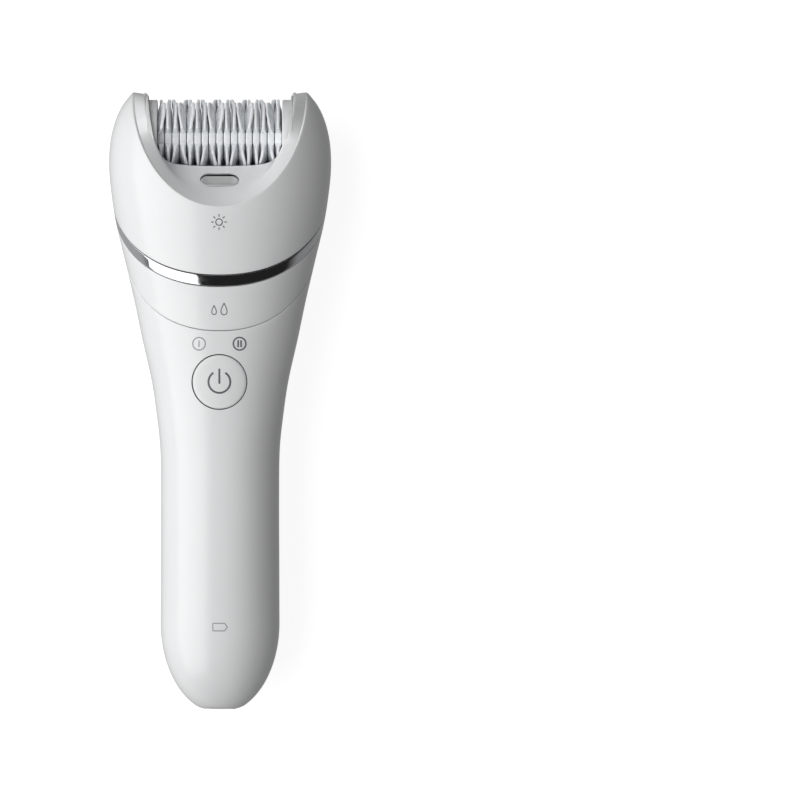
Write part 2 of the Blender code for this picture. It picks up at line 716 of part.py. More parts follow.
def head_train():
    idler_h, idler_f = idler_centre()
    lay = along_x(LAY_H, LAY_F)
    lay_origin = (0.0, LAY_H, LAY_F)
    idler_origin = (HEAD_GEAR_LOW, idler_h, idler_f)
    to_idler = math.atan2(idler_h - DRUM_H, idler_f - DRUM_F)
    idler_phase = meshed_phase(IDLER_TEETH, DRUM_TEETH, 0.0, to_idler)
    to_lay = math.atan2(LAY_H - idler_h, LAY_F - idler_f)
    lay_phase = meshed_phase(LAY_TEETH, IDLER_TEETH, idler_phase, to_lay)
    spur_gear("idler_gear", IDLER_TEETH, HEAD_MODULE, idler_phase, HEAD_GEAR_LOW, HEAD_GEAR_HIGH,
              1.3, along_x(idler_h, idler_f), idler_origin)
    spur_gear("lay_spur_gear", LAY_TEETH, HEAD_MODULE, lay_phase, HEAD_GEAR_LOW, HEAD_GEAR_HIGH,
              LAY_RADIUS + GAP, lay, lay_origin)
    shaft = turned([(LAY_RADIUS, -26.4), (LAY_RADIUS, -1.5)], lay, 16)
    object_from("layshaft", shaft, STEEL, lay_origin)

    half_tooth = math.pi / BEVEL_TEETH
    big, small = bevel_rings(half_tooth)
    loops = []
    bore = circle(LAY_RADIUS + GAP, len(big), half_tooth)
    for corner, tip, (u, v) in zip(big, small, bore):
        loops.append([lay(*corner), lay(*tip), lay(u, v, tip[2]), lay(u, v, corner[2])])
    object_from("lay_bevel_gear", swept(loops, cyclic=True), GEAR_WHITE, lay_origin)

    pinion = [[(u, LAY_H + w, LAY_F + v) for u, v, w in ring] for ring in bevel_rings(0.0)]
    low = pinion[0][0][1]
    body = [[(3.4 * math.cos(a), h, LAY_F + 3.4 * math.sin(a)) for a in
             (math.atan2(f - LAY_F, x) for x, _, f in pinion[0])] for h in (low - 2.0, low)]
    coupling_origin = (0.0, LAY_H, LAY_F)
    made = object_from("input_coupling", swept(body + pinion, cyclic=False), GEAR_WHITE, coupling_origin)
    outer = turned([(3.6, 139.0), (3.6, low - 1.0)], along_h(0.0, LAY_F), 24)
    join(made, "coupling_sleeve", outer)
    socket = prism(circle(2.75, 6), [], 138.0, 144.4, along_h(0.0, LAY_F))
    cut(made, "coupling_socket", socket)

    plate = prism(rectangle(-7.5, 6.0, 143.5 - LAY_H, 172.0 - LAY_H), [
        circle(LAY_RADIUS + GAP, 16, centre=(LAY_F, 0.0)),
        circle(AXLE_RADIUS + GAP, 16, centre=(DRUM_F, DRUM_H - LAY_H)),
    ], -23.3, -22.7, along_x(LAY_H, 0.0))
    made = object_from("gear_plate", plate, STEEL, (-23.0, LAY_H, 0.0))
    join(made, "idler_pin", turned([(1.0, -26.0), (1.0, -23.0)], along_x(idler_h, idler_f), 12))

    block = prism(rectangle(-4.5, 2.5, -8.0, 4.0), [circle(LAY_RADIUS + GAP, 16, centre=(LAY_F, 0.0))],
                  -9.0, -6.0, along_x(LAY_H, 0.0))
    object_from("layshaft_bearing", block, GREY_PLASTIC, (-7.5, LAY_H, LAY_F))


def oval(width, front, back, steps=24):
    """A body-like outline across the axis."""
    points = []
    for step in range(steps):
        turn = math.tau * step / steps
        u = width * powered(math.cos(turn), 2 / SECTION_POWER)
        v = powered(math.sin(turn), 2 / SECTION_POWER)
        points.append((u, v * (front if v > 0 else back)))
    return points


def head_base():
    outline = oval(23.0, 14.8, 9.6)
    opening = circle(5.8, 24, centre=(0.0, LAY_F))
    made = object_from("head_base", prism(outline, [opening], 138.5, 140.5, along_h()), GREY_PLASTIC,
                       (0.0, 138.5, 0.0))
    for name, side in (("left", -1), ("right", 1)):
        low, high = sorted((side * 15.0, side * 18.0))
        post = prism(rectangle(low, high, 4.5, 8.5), [], 140.0, 152.5, along_h())
        join(made, f"post_{name}", post)


def light_lens():
    lens = prism(window_outline(5.45, 2.75), [], -1.7, -0.6, on_ramp)
    object_from("light_lens", lens, CLEAR_LENS, (0.0, 154.6, 13.3))


def neck():
    made = object_from("neck_plug", prism(oval(22.0, 15.0, 9.8), [oval(20.8, 13.8, 8.6)], 116.0, 135.5,
                                          along_h()), GREY_PLASTIC, (0.0, 116.0, 0.0))
    join(made, "plug_top", prism(oval(21.4, 14.4, 9.2), [circle(1.8, 16, centre=(0.0, DRIVE_F))],
                                 135.0, 137.0, along_h()))
    join(made, "plug_boss", turned_ring([(1.8, 132.0), (5.4, 136.0), (5.4, 138.8), (1.8, 138.8)],
                                        along_h(0.0, DRIVE_F), 24))
    seal = [[(x + reach * x / 23.0, h, f + reach * f / 15.0) for reach, h in
             ((-0.45, 127.0), (0.15, 127.0), (0.15, 128.2), (-0.45, 128.2))]
            for x, f in oval(22.85, 15.85, 10.65)]
    object_from("neck_seal", swept(seal, cyclic=True), SEAL_RUBBER, (0.0, 127.6, 0.0))


def power_train():
    drive = along_h(0.0, DRIVE_F)
    motor = (0.0, LOWER_GEARS[0], DRIVE_F)
    made = spur_gear("motor_pinion", PINION_TEETH, NECK_MODULE, 0.0, *LOWER_GEARS, 0.0, drive, motor, STEEL)
    join(made, "motor_shaft", turned([(0.75, 113.0), (0.75, 119.2)], drive, 12))
    wheel_phase = meshed_phase(WHEEL_TEETH, PINION_TEETH, 0.0, 0.0)
    cluster = along_h(REDUCTION_X, DRIVE_F)
    made = spur_gear("reduction_gear", WHEEL_TEETH, NECK_MODULE, wheel_phase, *LOWER_GEARS, 1.2, cluster,
                     (REDUCTION_X, LOWER_GEARS[0], DRIVE_F))
    small = prism(gear_outline(PINION_TEETH, NECK_MODULE, 0.0), [circle(1.2, 16)],
                  LOWER_GEARS[1] - 0.5, UPPER_GEARS[1], cluster)
    join(made, "reduction_pinion", small)
    output_phase = meshed_phase(WHEEL_TEETH, PINION_TEETH, 0.0, math.pi)
    output = prism(gear_outline(WHEEL_TEETH, NECK_MODULE, output_phase), [circle(AXLE_RADIUS + GAP, 16)],
                   *UPPER_GEARS, drive)
    object_from("output_gear", output, GEAR_WHITE, (0.0, UPPER_GEARS[0], DRIVE_F))
    made = object_from("drive_shaft", turned([(AXLE_RADIUS, 119.6), (AXLE_RADIUS, 139.8)], drive, 16),
                       STEEL, (0.0, 119.6, DRIVE_F))
    join(made, "drive_dog", prism(circle(2.2, 6), [], 139.6, 143.8, drive))
    object_from("gear_pin", turned([(0.9, 114.9), (0.9, 125.0)], cluster, 12), STEEL,
                (REDUCTION_X, 114.9, DRIVE_F))
    object_from("gearbox_plate", prism(oval(20.3, 13.3, 8.1), [
        circle(AXLE_RADIUS + GAP, 16, centre=(0.0, DRIVE_F)),
        circle(1.2, 12, centre=(REDUCTION_X, DRIVE_F)),
    ], 123.2, 124.4, along_h()), STEEL, (0.0, 123.2, 0.0))


def motor_and_cell():
    can = [(x, f) for x, f in circle(10.2, 40) if abs(f) < 7.69]
    object_from("motor_can", prism(can, [circle(1.2, 12)], 84.0, 112.5, along_h(0.0, DRIVE_F)),
                STEEL, (0.0, 84.0, DRIVE_F))
    cell = turned([(6.6, 22.5), (7.0, 22.9), (7.0, 72.5), (2.2, 72.6), (2.2, 73.5)],
                  along_h(0.0, DRIVE_F), 28)
    object_from("battery_cell", cell, CELL_SLEEVE, (0.0, 22.5, DRIVE_F))


def chassis():
    """The carrier of the cell and the motor: a floor, two rails and three cross walls."""
    made = object_from("chassis", prism(rectangle(-9.0, 9.0, -9.6, -9.0), [], 20.0, 114.5, along_h()),
                       GREY_PLASTIC, (0.0, 20.0, 0.0))
    for name, side in (("left", -1), ("right", 1)):
        low, high = sorted((side * 10.9, side * 12.1))
        join(made, f"rail_{name}", prism(rectangle(low, high, -7.5, 5.0), [], 20.0, 114.5, along_h()))
    outline = [(-9.0, -9.5), (9.0, -9.5), (12.0, -7.5), (12.0, 5.0), (-12.0, 5.0), (-12.0, -7.5)]
    for name, low, high in (("foot", 20.0, 21.5), ("middle", 75.2, 77.0), ("top", 113.1, 114.5)):
        bore = [circle(1.2, 12, centre=(0.0, DRIVE_F))] if name == "top" else []
        join(made, f"wall_{name}", prism(outline, bore, low, high, along_h()))


def board_and_lights():
    board = prism(rectangle(-8.0, 8.0, 28.0, 110.0), [], 7.4, 8.4, along_f())
    object_from("circuit_board", board, BOARD_GREEN, (0.0, 28.0, 7.4))
    switch = prism(rectangle(-3.0, 3.0, -3.0, 3.0), [], 8.7, 9.8, along_f(0.0, BUTTON_H))
    object_from("power_switch", switch, GREY_PLASTIC, (0.0, BUTTON_H, 8.7))
    membrane = turned_ring(tube(9.5, 5.5, 10.1, 10.9), along_f(0.0, BUTTON_H), 28)
    object_from("button_membrane", membrane, SEAL_RUBBER, (0.0, BUTTON_H, 10.1))
    bar = prism(rectangle(-7.5, 7.5, -1.6, 1.6), [], 8.7, 9.9, along_f(0.0, SPEED_LIGHT_H))
    made = object_from("light_guide", bar, CLEAR_LENS, (0.0, SPEED_LIGHT_H, 8.7))
    for name, side in (("low", -1), ("high", 1)):
        post = turned([(1.6, 9.3), (1.6, 12.9)], along_f(side * SPEED_LIGHT_X, SPEED_LIGHT_H), 16)
        join(made, f"light_post_{name}", post)
    guide = turned([(1.6, 8.7), (1.6, 11.4)], along_f(0.0, 31.0), 16)
    object_from("battery_light_guide", guide, CLEAR_LENS, (0.0, 31.0, 8.7))


def power_button():
    """A round cap that follows the button face, with a stem down to the switch."""
    rings = []
    edge = BUTTON_RADIUS - 0.25
    bm = bmesh.new()
    low = [bm.verts.new((x, BUTTON_H + v, 12.0)) for x, v in circle(BUTTON_RADIUS, 32)]
    for radius, drop in ((BUTTON_RADIUS, 0.55), (edge, 0.2), (edge * 0.5, 0.2)):
        ring = []
        for x, v in circle(radius, 32):
            ring.append(bm.verts.new((x, BUTTON_H + v, skin_front(x, BUTTON_H + v) - drop)))
        rings.append(ring)
    rings = [low, *rings]
    for ring, following in zip(rings, rings[1:]):
        for i in range(len(ring)):
            j = (i + 1) % len(ring)
            bm.faces.new((ring[i], ring[j], following[j], following[i]))
    bm.faces.new(low)
    centre = bm.verts.new((0.0, BUTTON_H, skin_front(0.0, BUTTON_H) - 0.2))
    for i in range(len(rings[-1])):
        bm.faces.new((rings[-1][i - 1], rings[-1][i], centre))
    made = object_from("power_button", bm, WHITE_SATIN, (0.0, BUTTON_H, 12.0))
    join(made, "button_stem", turned([(2.0, 11.0), (2.0, 12.5)], along_f(0.0, BUTTON_H), 16))


def charging_socket():
    outer = rounded(4.4, 3.1, 1.5)
    made = object_from("charge_socket", prism(outer, [rounded(3.6, 2.3, 1.0)], 0.3, 7.5, along_h()),
                       GREY_PLASTIC, (0.0, 0.3, 0.0))
    floor = prism(rounded(4.2, 2.9, 1.4), [circle(0.8, 12, centre=(side * 1.9, 0.0)) for side in (-1, 1)],
                  7.0, 9.0, along_h())
    join(made, "socket_floor", floor)
    for name, side in (("left", -1), ("right", 1)):
        pin = turned([(0.5, 4.6), (0.5, 10.5)], along_h(side * 1.9, 0.0), 12)
        object_from(f"charge_pin_{name}", pin, GOLD_PIN, (side * 1.9, 4.6, 0.0))




def release_button():
    """The pad in the back shell that frees the head, with its latch arm."""
    u_half, v_half = RELEASE_HALF
    outline = rounded(u_half, v_half, 2.0)
    bm = bmesh.new()
    inner = [bm.verts.new((u, RELEASE_H + v, -12.0)) for u, v in outline]
    rings = [inner]
    for shrink, drop in ((1.0, 0.6), (0.95, 0.25)):
        ring = []
        for u, v in outline:
            x, h = u * shrink, RELEASE_H + v * shrink
            width, _, back = body_size(h)
            depth = back * (1 - (abs(x) / width) ** SECTION_POWER) ** (1 / SECTION_POWER)
            ring.append(bm.verts.new((x, h, drop - depth)))
        rings.append(ring)
    for ring, following in zip(rings, rings[1:]):
        for i in range(len(ring)):
            j = (i + 1) % len(ring)
            bm.faces.new((ring[i], ring[j], following[j], following[i]))
    bm.faces.new(inner)
    bm.faces.new(rings[-1])
    made = object_from("release_button", bm, WHITE_SATIN, (0.0, RELEASE_H, -12.0))
    join(made, "latch_arm", prism(rectangle(-3.0, 3.0, -12.7, -11.9), [], RELEASE_H - 1.0, 139.0, along_h()))


def release_spring():
    """Two and a half open turns of fine wire between the release button and the neck plug."""
    steps = round(SPRING_TURNS * 12)
    loops = []
    for step in range(steps + 1):
        share = step / steps
        turn = math.tau * SPRING_TURNS * share
        out = Vector((math.cos(turn), math.sin(turn), 0.0))
        centre = Vector((0.0, RELEASE_H, SPRING_LOW + (SPRING_HIGH - SPRING_LOW) * share)) + out * SPRING_RADIUS
        loop = []
        for corner in range(6):
            lean = math.tau * corner / 6
            loop.append(centre + out * SPRING_WIRE * math.cos(lean)
                        + Vector((0, 0, SPRING_WIRE * math.sin(lean))))
        loops.append(loop)
    object_from("release_spring", swept(loops, cyclic=False), STEEL, (0.0, RELEASE_H, SPRING_LOW))


def outer_body():
    front = handle_shell("front_shell", 0.0, 180.0)
    cut(front, "button_hole", turned([(BUTTON_RADIUS + GAP, 11.0), (BUTTON_RADIUS + GAP, 18.0)],
                                     along_f(0.0, BUTTON_H), 32))
    back = handle_shell("back_shell", 180.0, 360.0)
    u_half, v_half = RELEASE_HALF
    hole = rounded(u_half + GAP, v_half + GAP, 2.0 + GAP)
    cut(back, "release_hole", prism(hole, [], -18.0, -6.0, along_f(0.0, RELEASE_H)))
    band("neck_collar", collar_seam, ring_seam, HANDLE_WALL, WHITE_GLOSS)
    band("chrome_ring", ring_seam, head_seam, TRIM_WALL, CHROME)
    head_shell()
    head_insert()


def main():
    clear_scene()
    outer_body()
    light_lens()
    drum()
    head_train()
    head_base()
    neck()
    power_train()
    motor_and_cell()
    chassis()
    board_and_lights()
    power_button()
    charging_socket()
    release_button()
    release_spring()


main()
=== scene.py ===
"""Looks of the cordless epilator: finely modelled shells, discs, marks and finishes on the CAD frame.

Body coordinates are millimetres: x across the body, h along it from the foot to the head, and f out of
the button face, measured from the seam between the handle shells. place() turns them into the frame's
metres.
"""

import json
import math

import bmesh
import bpy
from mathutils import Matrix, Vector


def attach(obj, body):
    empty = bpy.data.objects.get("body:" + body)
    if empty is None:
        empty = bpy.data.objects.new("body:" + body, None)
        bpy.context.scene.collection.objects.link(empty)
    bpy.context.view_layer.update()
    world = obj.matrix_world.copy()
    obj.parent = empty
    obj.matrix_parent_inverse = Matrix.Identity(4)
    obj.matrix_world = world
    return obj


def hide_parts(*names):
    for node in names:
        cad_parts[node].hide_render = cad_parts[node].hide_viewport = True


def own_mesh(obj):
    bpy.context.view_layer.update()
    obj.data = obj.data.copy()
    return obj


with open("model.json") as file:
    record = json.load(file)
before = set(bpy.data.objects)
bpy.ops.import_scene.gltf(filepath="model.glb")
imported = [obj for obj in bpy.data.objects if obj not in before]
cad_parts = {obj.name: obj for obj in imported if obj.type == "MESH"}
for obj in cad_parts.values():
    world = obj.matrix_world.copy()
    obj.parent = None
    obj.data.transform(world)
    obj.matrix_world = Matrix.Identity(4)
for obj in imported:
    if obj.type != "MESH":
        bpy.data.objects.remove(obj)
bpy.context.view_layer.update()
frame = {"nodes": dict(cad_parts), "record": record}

MM = 0.001
LENGTH = 180.0
REST_HEIGHT = 16.5

# The body's cross-section along its length: height h, half width, depth to the front, depth to the back.
BODY_STATIONS = (
    (25.0, 17.35, 14.2, 15.8),
    (42.0, 17.30, 14.6, 16.5),
    (62.0, 17.25, 14.4, 15.8),
    (76.0, 17.45, 14.3, 14.3),
    (86.0, 18.50, 14.4, 13.3),
    (96.0, 20.00, 14.8, 12.9),
    (108.0, 22.70, 16.0, 12.9),
    (119.0, 25.00, 17.6, 13.8),
    (131.0, 27.80, 19.4, 15.2),
    (142.0, 30.40, 20.8, 16.2),
    (151.0, 31.80, 21.3, 16.45),
    (158.0, 32.40, 21.0, 16.4),
    (165.0, 32.10, 20.0, 16.1),
    (171.0, 30.80, 18.4, 15.4),
    (176.0, 28.60, 16.0, 13.6),
    (180.0, 25.50, 13.5, 11.2),
)
SECTION_POWER = 2.2
# The foot is a dome below FOOT_TOP, cut flat round the charging socket.
FOOT_TOP = 25.0
FOOT_RADIUS = 26.3
FOOT_INNER_RADIUS = 24.5
FOOT_ROUND = 1.0
FOOT_TUCK = 0.26
SOCKET_MOUTH = (4.55, 3.25)
SOCKET_MOUTH_DEPTH = 2.5
INNER_HEIGHTS = (104.0, 76.0, 45.0, FOOT_TOP, 14.0, 8.0, 4.0)

# The shells' walls, the lines left open between neighbours and the roundness of their edges.
HANDLE_WALL = 1.8
HEAD_WALL = 1.4
RING_WALL = 1.3
SEAM_GAP = 0.16
HEAD_GAP = 0.26
SHELL_GAP = 0.14
EDGE_ROUND = 0.22
COLUMNS = 200
SHELL_ROWS = 56
DOME_ROWS = 60
CUT_SHARP = 30.0

# The seams: height at mid-depth, slope towards the button face and how soon they level out behind it.
HEAD_SEAM_HEIGHT = 147.1
HEAD_SEAM_SLOPE = 1.103
HEAD_SEAM_FADE = 3.6
RING_FRONT = 3.9
RING_SIDE_EXTRA = 1.4
RING_FULL_DEPTH = 18.7
COLLAR_SEAM_HEIGHT = 131.8
COLLAR_SEAM_SLOPE = 1.32
COLLAR_SEAM_FADE = 3.2

# The scoop that shapes the head's rim, and the insert's band and shelf inside the rim.
SCOOP_HALF_WIDTH = 25.5
SCOOP_FRONT_DROP = 33.4
SCOOP_BACK_DROP = 13.0
SCOOP_BACK_F = -14.0
SCOOP_FRONT_F = 6.0
SCOOP_DEEP_F = 15.0
RIM_LOWEST = 140.0
RIM_HALF_WIDTH = 21.8
RIM_DROP_SHARE = 0.9
RIM_TIP_DROP = 0.5
RIM_HOLLOW = 0.4
RIM_LIP = 0.5
RIM_ROUND = 0.45
RIM_GAP = 0.07
RIM_STEP = 0.05
RIM_LEDGE = 2.5
RIM_LEDGE_FALL = 0.3
RIM_TUCK = 0.8
RIM_BEND = 0.14
CREASE_ROUND = 0.7
CREASE_ROUND_EXTRA = 3.2
INSERT_SKIN = 0.5
CREASE_CLEARANCE = 0.55
# At mid-depth, where the sine of the angle is all but nought, the insert's edge is tucked in sideways.
MID_DEPTH = 1e-6
SIDE_TUCK = 0.985

# The drum's axis, the trough that it turns in and the opening's lip.
DRUM_H = 167.5
DRUM_F = 2.0
TROUGH_RADIUS = 11.1
TROUGH_HALF_WIDTH = 21.0
TROUGH_STEPS = 60
LIP_BOW = 0.08
LIP_FRONT_H = 158.4
LIP_BACK_H = 167.5
LIP_ROUND = 0.35
BUSH_HOLE = 2.75

# The discs, whose angles are in degrees, and the side covers, which are given by their nearer and farther x.
DISC_COUNT = 17
DISC_PITCH = 2.135
DISC_RADIUS = 10.5
DISC_NOTCH_RADIUS = 7.4
DISC_BORE = 1.9
DISC_HUB_THICKNESS = 1.92
DISC_HUB_RADIUS = 7.2
DISC_TIP_THICKNESS = 0.82
DISC_THINNING = 2.5
DISC_LOBE_SPAN = 90
DISC_NOTCH_PHASE = -9.0
DISC_NOTCH_HALF_ANGLE = 13.0
DISC_FLANK_ANGLE = 7.0
DISC_BEND_ANGLE = 32.0
DISC_STAGGER = 0.45
DISC_GAP = 0.12
DISC_STEPS = 120
# Where a disc's rings lie from its bore to its outline, and how thin the outermost two are.
DISC_SHARES = (0.0, 0.3, 0.5, 0.6, 0.68, 0.76, 0.84, 0.92, 0.97, 0.993, 1.0)
DISC_EDGE_THINNING = {0.993: 0.85, 1.0: 0.6}
COVER_X = (18.2, 20.85)
COVER_RADIUS = 10.25
COVER_BORE = 3.0
COVER_EDGE = 0.35
COVER_STEPS = 96

# The power button, the release pad with its arm and spring, and the light window.
BUTTON_H = 95.4
BUTTON_RADIUS = 7.85
BUTTON_HOLE_RADIUS = 8.12
BUTTON_HOLE_F = (8.0, 20.0)
BUTTON_STEM_RADIUS = 2.0
BUTTON_STEM_F = (11.0, 12.2)
BUTTON_DROP = 0.2
BUTTON_STEPS = 128
RELEASE_H = 121.0
RELEASE_HALF = (6.0, 4.0)
RELEASE_CORNER = 2.0
RELEASE_HOLE_F = (-22.0, -6.0)
RELEASE_FLOOR_F = -12.0
RELEASE_DROP = 0.25
GRIP_SPACING = 1.7
GRIP_HALF = (3.8, 0.28)
GRIP_CORNER = 0.27
GRIP_SUNK = (0.3, 0.02)
ARM_HALF_WIDTH = 3.0
ARM_LOW_H = 120.0
ARM_HIGH_H = 139.0
ARM_CORNER = 0.4
ARM_F = (-12.7, -11.9)
SPRING_TURNS = 2.5
SPRING_WIRE = 0.13
SPRING_RADIUS = 1.8
SPRING_TURN_STEPS = 40
SPRING_SIDES = 14
SPRING_LOW = -11.4
SPRING_HIGH = -10.4
LENS_H = 154.6
LENS_F = 13.3
LENS_LEAN = 45.0
LENS_GAP = 0.14
LENS_HOLE_REACH = 4.0
LENS_HALF = (5.5, 2.8)
LENS_SLIT = 1.3
LENS_TILT = 0.08

# The printed signs. A speed sign is given by its bar's half length and the widths of its ring and bar, and a
# water drop by its x, lift and size.
PRINT_LIFT = 0.03
PRINT_DEPTH = 0.06
POWER_RADIUS = 3.17
POWER_GAP_ANGLE = 33
POWER_BAR = (3.85, -0.5)
POWER_LINE = 0.56
SPEED_X = 5.9
SPEED_H = 106.5
SPEED_RADIUS = 1.83
SPEED_ONE = (0.95, 0.36, 0.34)
SPEED_TWO = (1.0, 0.42, 0.46)
SPEED_TWO_SPREAD = 0.42
SUN_H = 141.8
SUN_RADIUS = 0.95
SUN_RAY = (1.55, 2.3)
SUN_LINE = 0.3
WATER_H = 116.4
WATER_LINE = 0.26
WATER_DROPS = ((-1.5, -0.1, 2.6), (1.4, 0.2, 3.4))
BATTERY_H = 24.1
BATTERY_X = (-1.9, 1.5, 2.3)
BATTERY_HALF = 1.1
BATTERY_LINE = 0.3

# The studio, in metres: the floor, its own glow, the fill, what reflections see, the light and the view.
# WALL_TURN and ZENITH_TURN are the x and z of a direction where the reflected room starts and ends a fade.
FLOOR_REACH = 4.0
FLOOR_DIM = (0.31, 0.31, 0.31)
FLOOR_PALE = (0.33, 0.33, 0.33)
FLOOR_GLOW = 0.88
FILL = (0.20, 0.20, 0.20)
REFLECTED_LEFT = (0.50, 0.50, 0.50)
REFLECTED_RIGHT = (0.30, 0.30, 0.30)
REFLECTED_ZENITH = (0.02, 0.02, 0.02)
BACKDROP = (0.93, 0.93, 0.93)
WALL_TURN = (0.2, -0.6)
ZENITH_TURN = (0.0, 0.35)
KEY_WATTS = 6.7
KEY_AT = (-0.48, 0.02, 0.50)
KEY_AIM = (0.0, 0.0, 0.02)
KEY_SIZE = (1.3, 0.78)
CAMERA_X = 0.05253
CAMERA_Y = 0.00015
CAMERA_HEIGHT = 3.5
VIEW_WIDTH = 0.2336


def place(point):
    """A point in body millimetres as one in the frame's metres."""
    x, h, f = point
    return Vector((x, h - LENGTH / 2, f + REST_HEIGHT)) * MM


def body_size(h, inset=0.0):
    """Half width, front depth and back depth of the body at a height: a smooth curve through the stations."""
    if h < FOOT_TOP:
        radius = FOOT_RADIUS if inset < 1.0 else FOOT_INNER_RADIUS
        shrink = math.sqrt(max(0.0, 1.0 - ((FOOT_TOP - h) / radius) ** 2))
        return [(size - inset) * shrink for size in BODY_STATIONS[0][1:]]
    last = len(BODY_STATIONS) - 2
    i = next((k for k in range(last) if h < BODY_STATIONS[k + 1][0]), last)
    start, end = BODY_STATIONS[i], BODY_STATIONS[i + 1]
    before = BODY_STATIONS[max(i - 1, 0)]
    after = BODY_STATIONS[min(i + 2, last + 1)]
    span = end[0] - start[0]
    t = min(max((h - start[0]) / span, 0.0), 1.0)
    sizes = []
    for k in (1, 2, 3):
        slope_start = (end[k] - before[k]) / (end[0] - before[0]) * span
        slope_end = (after[k] - start[k]) / (after[0] - start[0]) * span
        rise = end[k] - start[k]
        curve = (slope_start + slope_end - 2 * rise) * t**3
        curve += (3 * rise - 2 * slope_start - slope_end) * t**2
        sizes.append(start[k] + slope_start * t + curve - inset)
    return sizes


def powered(value, power):
    return math.copysign(abs(value) ** power, value)


def skin(angle, h, inset=0.0):
    """The point of the body's surface at an angle round it: 0 is +x and 90 degrees is the button face."""
    width, front, back = body_size(h, inset)
    across = width * powered(math.cos(angle), 2 / SECTION_POWER)
    out = powered(math.sin(angle), 2 / SECTION_POWER)
    return Vector((across, h, out * (front if out > 0 else back)))


def skin_depth(x, h, side=1):
    """How far out the button face (side 1) or the back (side -1) is at (x, h)."""
    width, front, back = body_size(h)
    depth = front if side > 0 else back
    return side * depth * (1 - (abs(x) / width) ** SECTION_POWER) ** (1 / SECTION_POWER)


def seam_line(f, height, slope, fade):
    """A seam's height at depth f: it falls towards the button face and levels out towards the back."""
    if f >= 0:
        return height - slope * f
    return height + slope * fade * (1 - math.exp(f / fade))


def ring_thickness(f):
    return RING_FRONT + RING_SIDE_EXTRA * (1 - min(max(f / RING_FULL_DEPTH, 0.0), 1.0)) ** 2


def head_seam(f):
    return seam_line(f, HEAD_SEAM_HEIGHT, HEAD_SEAM_SLOPE, HEAD_SEAM_FADE)


def ring_seam(f):
    return head_seam(f) - ring_thickness(f)


def collar_seam(f):
    return seam_line(f, COLLAR_SEAM_HEIGHT, COLLAR_SEAM_SLOPE, COLLAR_SEAM_FADE)


def seam_height(angle, seam):
    """The height where a seam meets the body's surface at an angle."""
    h = seam(0.0)
    for _ in range(30):
        h = seam(skin(angle, h).z)
    return h


def smooth(t):
    t = min(max(t, 0.0), 1.0)
    return t * t * (3 - 2 * t)


def scoop_drop(f):
    """How deep the scoop is at depth f, in the middle of the body."""
    rise = smooth((f - SCOOP_BACK_F) / (SCOOP_FRONT_F - SCOOP_BACK_F))
    return SCOOP_BACK_DROP + (SCOOP_FRONT_DROP - SCOOP_BACK_DROP) * rise


def scoop_height(x, f):
    """The height of the scoop's surface, which is level with the head's end beyond its half width."""
    across = min(abs(x) / SCOOP_HALF_WIDTH, 1.0)
    return LENGTH - scoop_drop(f) * math.sqrt(1 - across**2)


def rim_height(angle):
    """The height where the scoop meets the body's surface at an angle."""
    low, high = RIM_LOWEST, LENGTH
    for _ in range(40):
        middle = (low + high) / 2
        x, h, f = skin(angle, middle)
        low, high = (middle, high) if h < scoop_height(x, f) else (low, middle)
    return low


def ring_angles():
    return [math.tau * i / COLUMNS for i in range(COLUMNS)]


def object_of(name, bm):
    """Moves a bmesh into a new object of the scene."""
    mesh = bpy.data.meshes.new(name)
    bm.to_mesh(mesh)
    bm.free()
    made = bpy.data.objects.new(name, mesh)
    bpy.context.scene.collection.objects.link(made)
    return made


def mesh_piece(name, bm, body, nodes, finish, sharp=40.0):
    """Turns a bmesh in body millimetres into a piece that rides on a body and stands for CAD nodes.

    Its finish names its look. Edges that bend by more than sharp degrees are drawn sharp.
    """
    for vertex in bm.verts:
        vertex.co = place(vertex.co)
    bmesh.ops.recalc_face_normals(bm, faces=bm.faces)
    piece = object_of(name, bm)
    piece.data.shade_smooth()
    piece.data.set_sharp_from_angle(angle=math.radians(sharp))
    piece.data.materials.append(LOOKS[finish])
    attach(piece, body)
    if nodes:
        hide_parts(*nodes)
    return piece


def swept(loops, cyclic):
    """A surface through closed loops of equal length: joined round into a ring, or capped at both ends."""
    bm = bmesh.new()
    rings = [[bm.verts.new(point) for point in loop] for loop in loops]
    count = len(rings[0])
    joined = zip(rings, rings[1:] + rings[:1]) if cyclic else zip(rings, rings[1:])
    for ring, following in joined:
        for i in range(count):
            j = (i + 1) % count
            bm.faces.new((ring[i], ring[j], following[j], following[i]))
    if not cyclic:
        bm.faces.new(rings[0])
        bm.faces.new(rings[-1])
    return bm


def cutter(name, outline, low, high, place_at):
    """A straight-sided tool for a Boolean, from an outline and two depths, in body millimetres."""
    bm = swept([[place(place_at(u, v, w)) for u, v in outline] for w in (low, high)], cyclic=False)
    bmesh.ops.recalc_face_normals(bm, faces=bm.faces)
    return object_of(name, bm)


def apply_modifier(piece, modifier):
    """Replaces a piece's mesh by what a modifier makes of it."""
    bpy.context.view_layer.update()
    graph = bpy.context.evaluated_depsgraph_get()
    changed = bpy.data.meshes.new_from_object(piece.evaluated_get(graph))
    piece.modifiers.remove(modifier)
    piece.data = changed


def cut_through(piece, tool):
    """Cuts the tool out of a piece for good, then removes the tool."""
    boolean = piece.modifiers.new("cut", "BOOLEAN")
    boolean.operation = "DIFFERENCE"
    boolean.solver = "EXACT"
    boolean.object = tool
    apply_modifier(piece, boolean)
    piece.data.shade_smooth()
    piece.data.set_sharp_from_angle(angle=math.radians(CUT_SHARP))
    bpy.data.objects.remove(tool, do_unlink=True)


def circle(radius, steps=96, centre=(0.0, 0.0)):
    turns = [math.tau * i / steps for i in range(steps)]
    return [(centre[0] + radius * math.cos(a), centre[1] + radius * math.sin(a)) for a in turns]


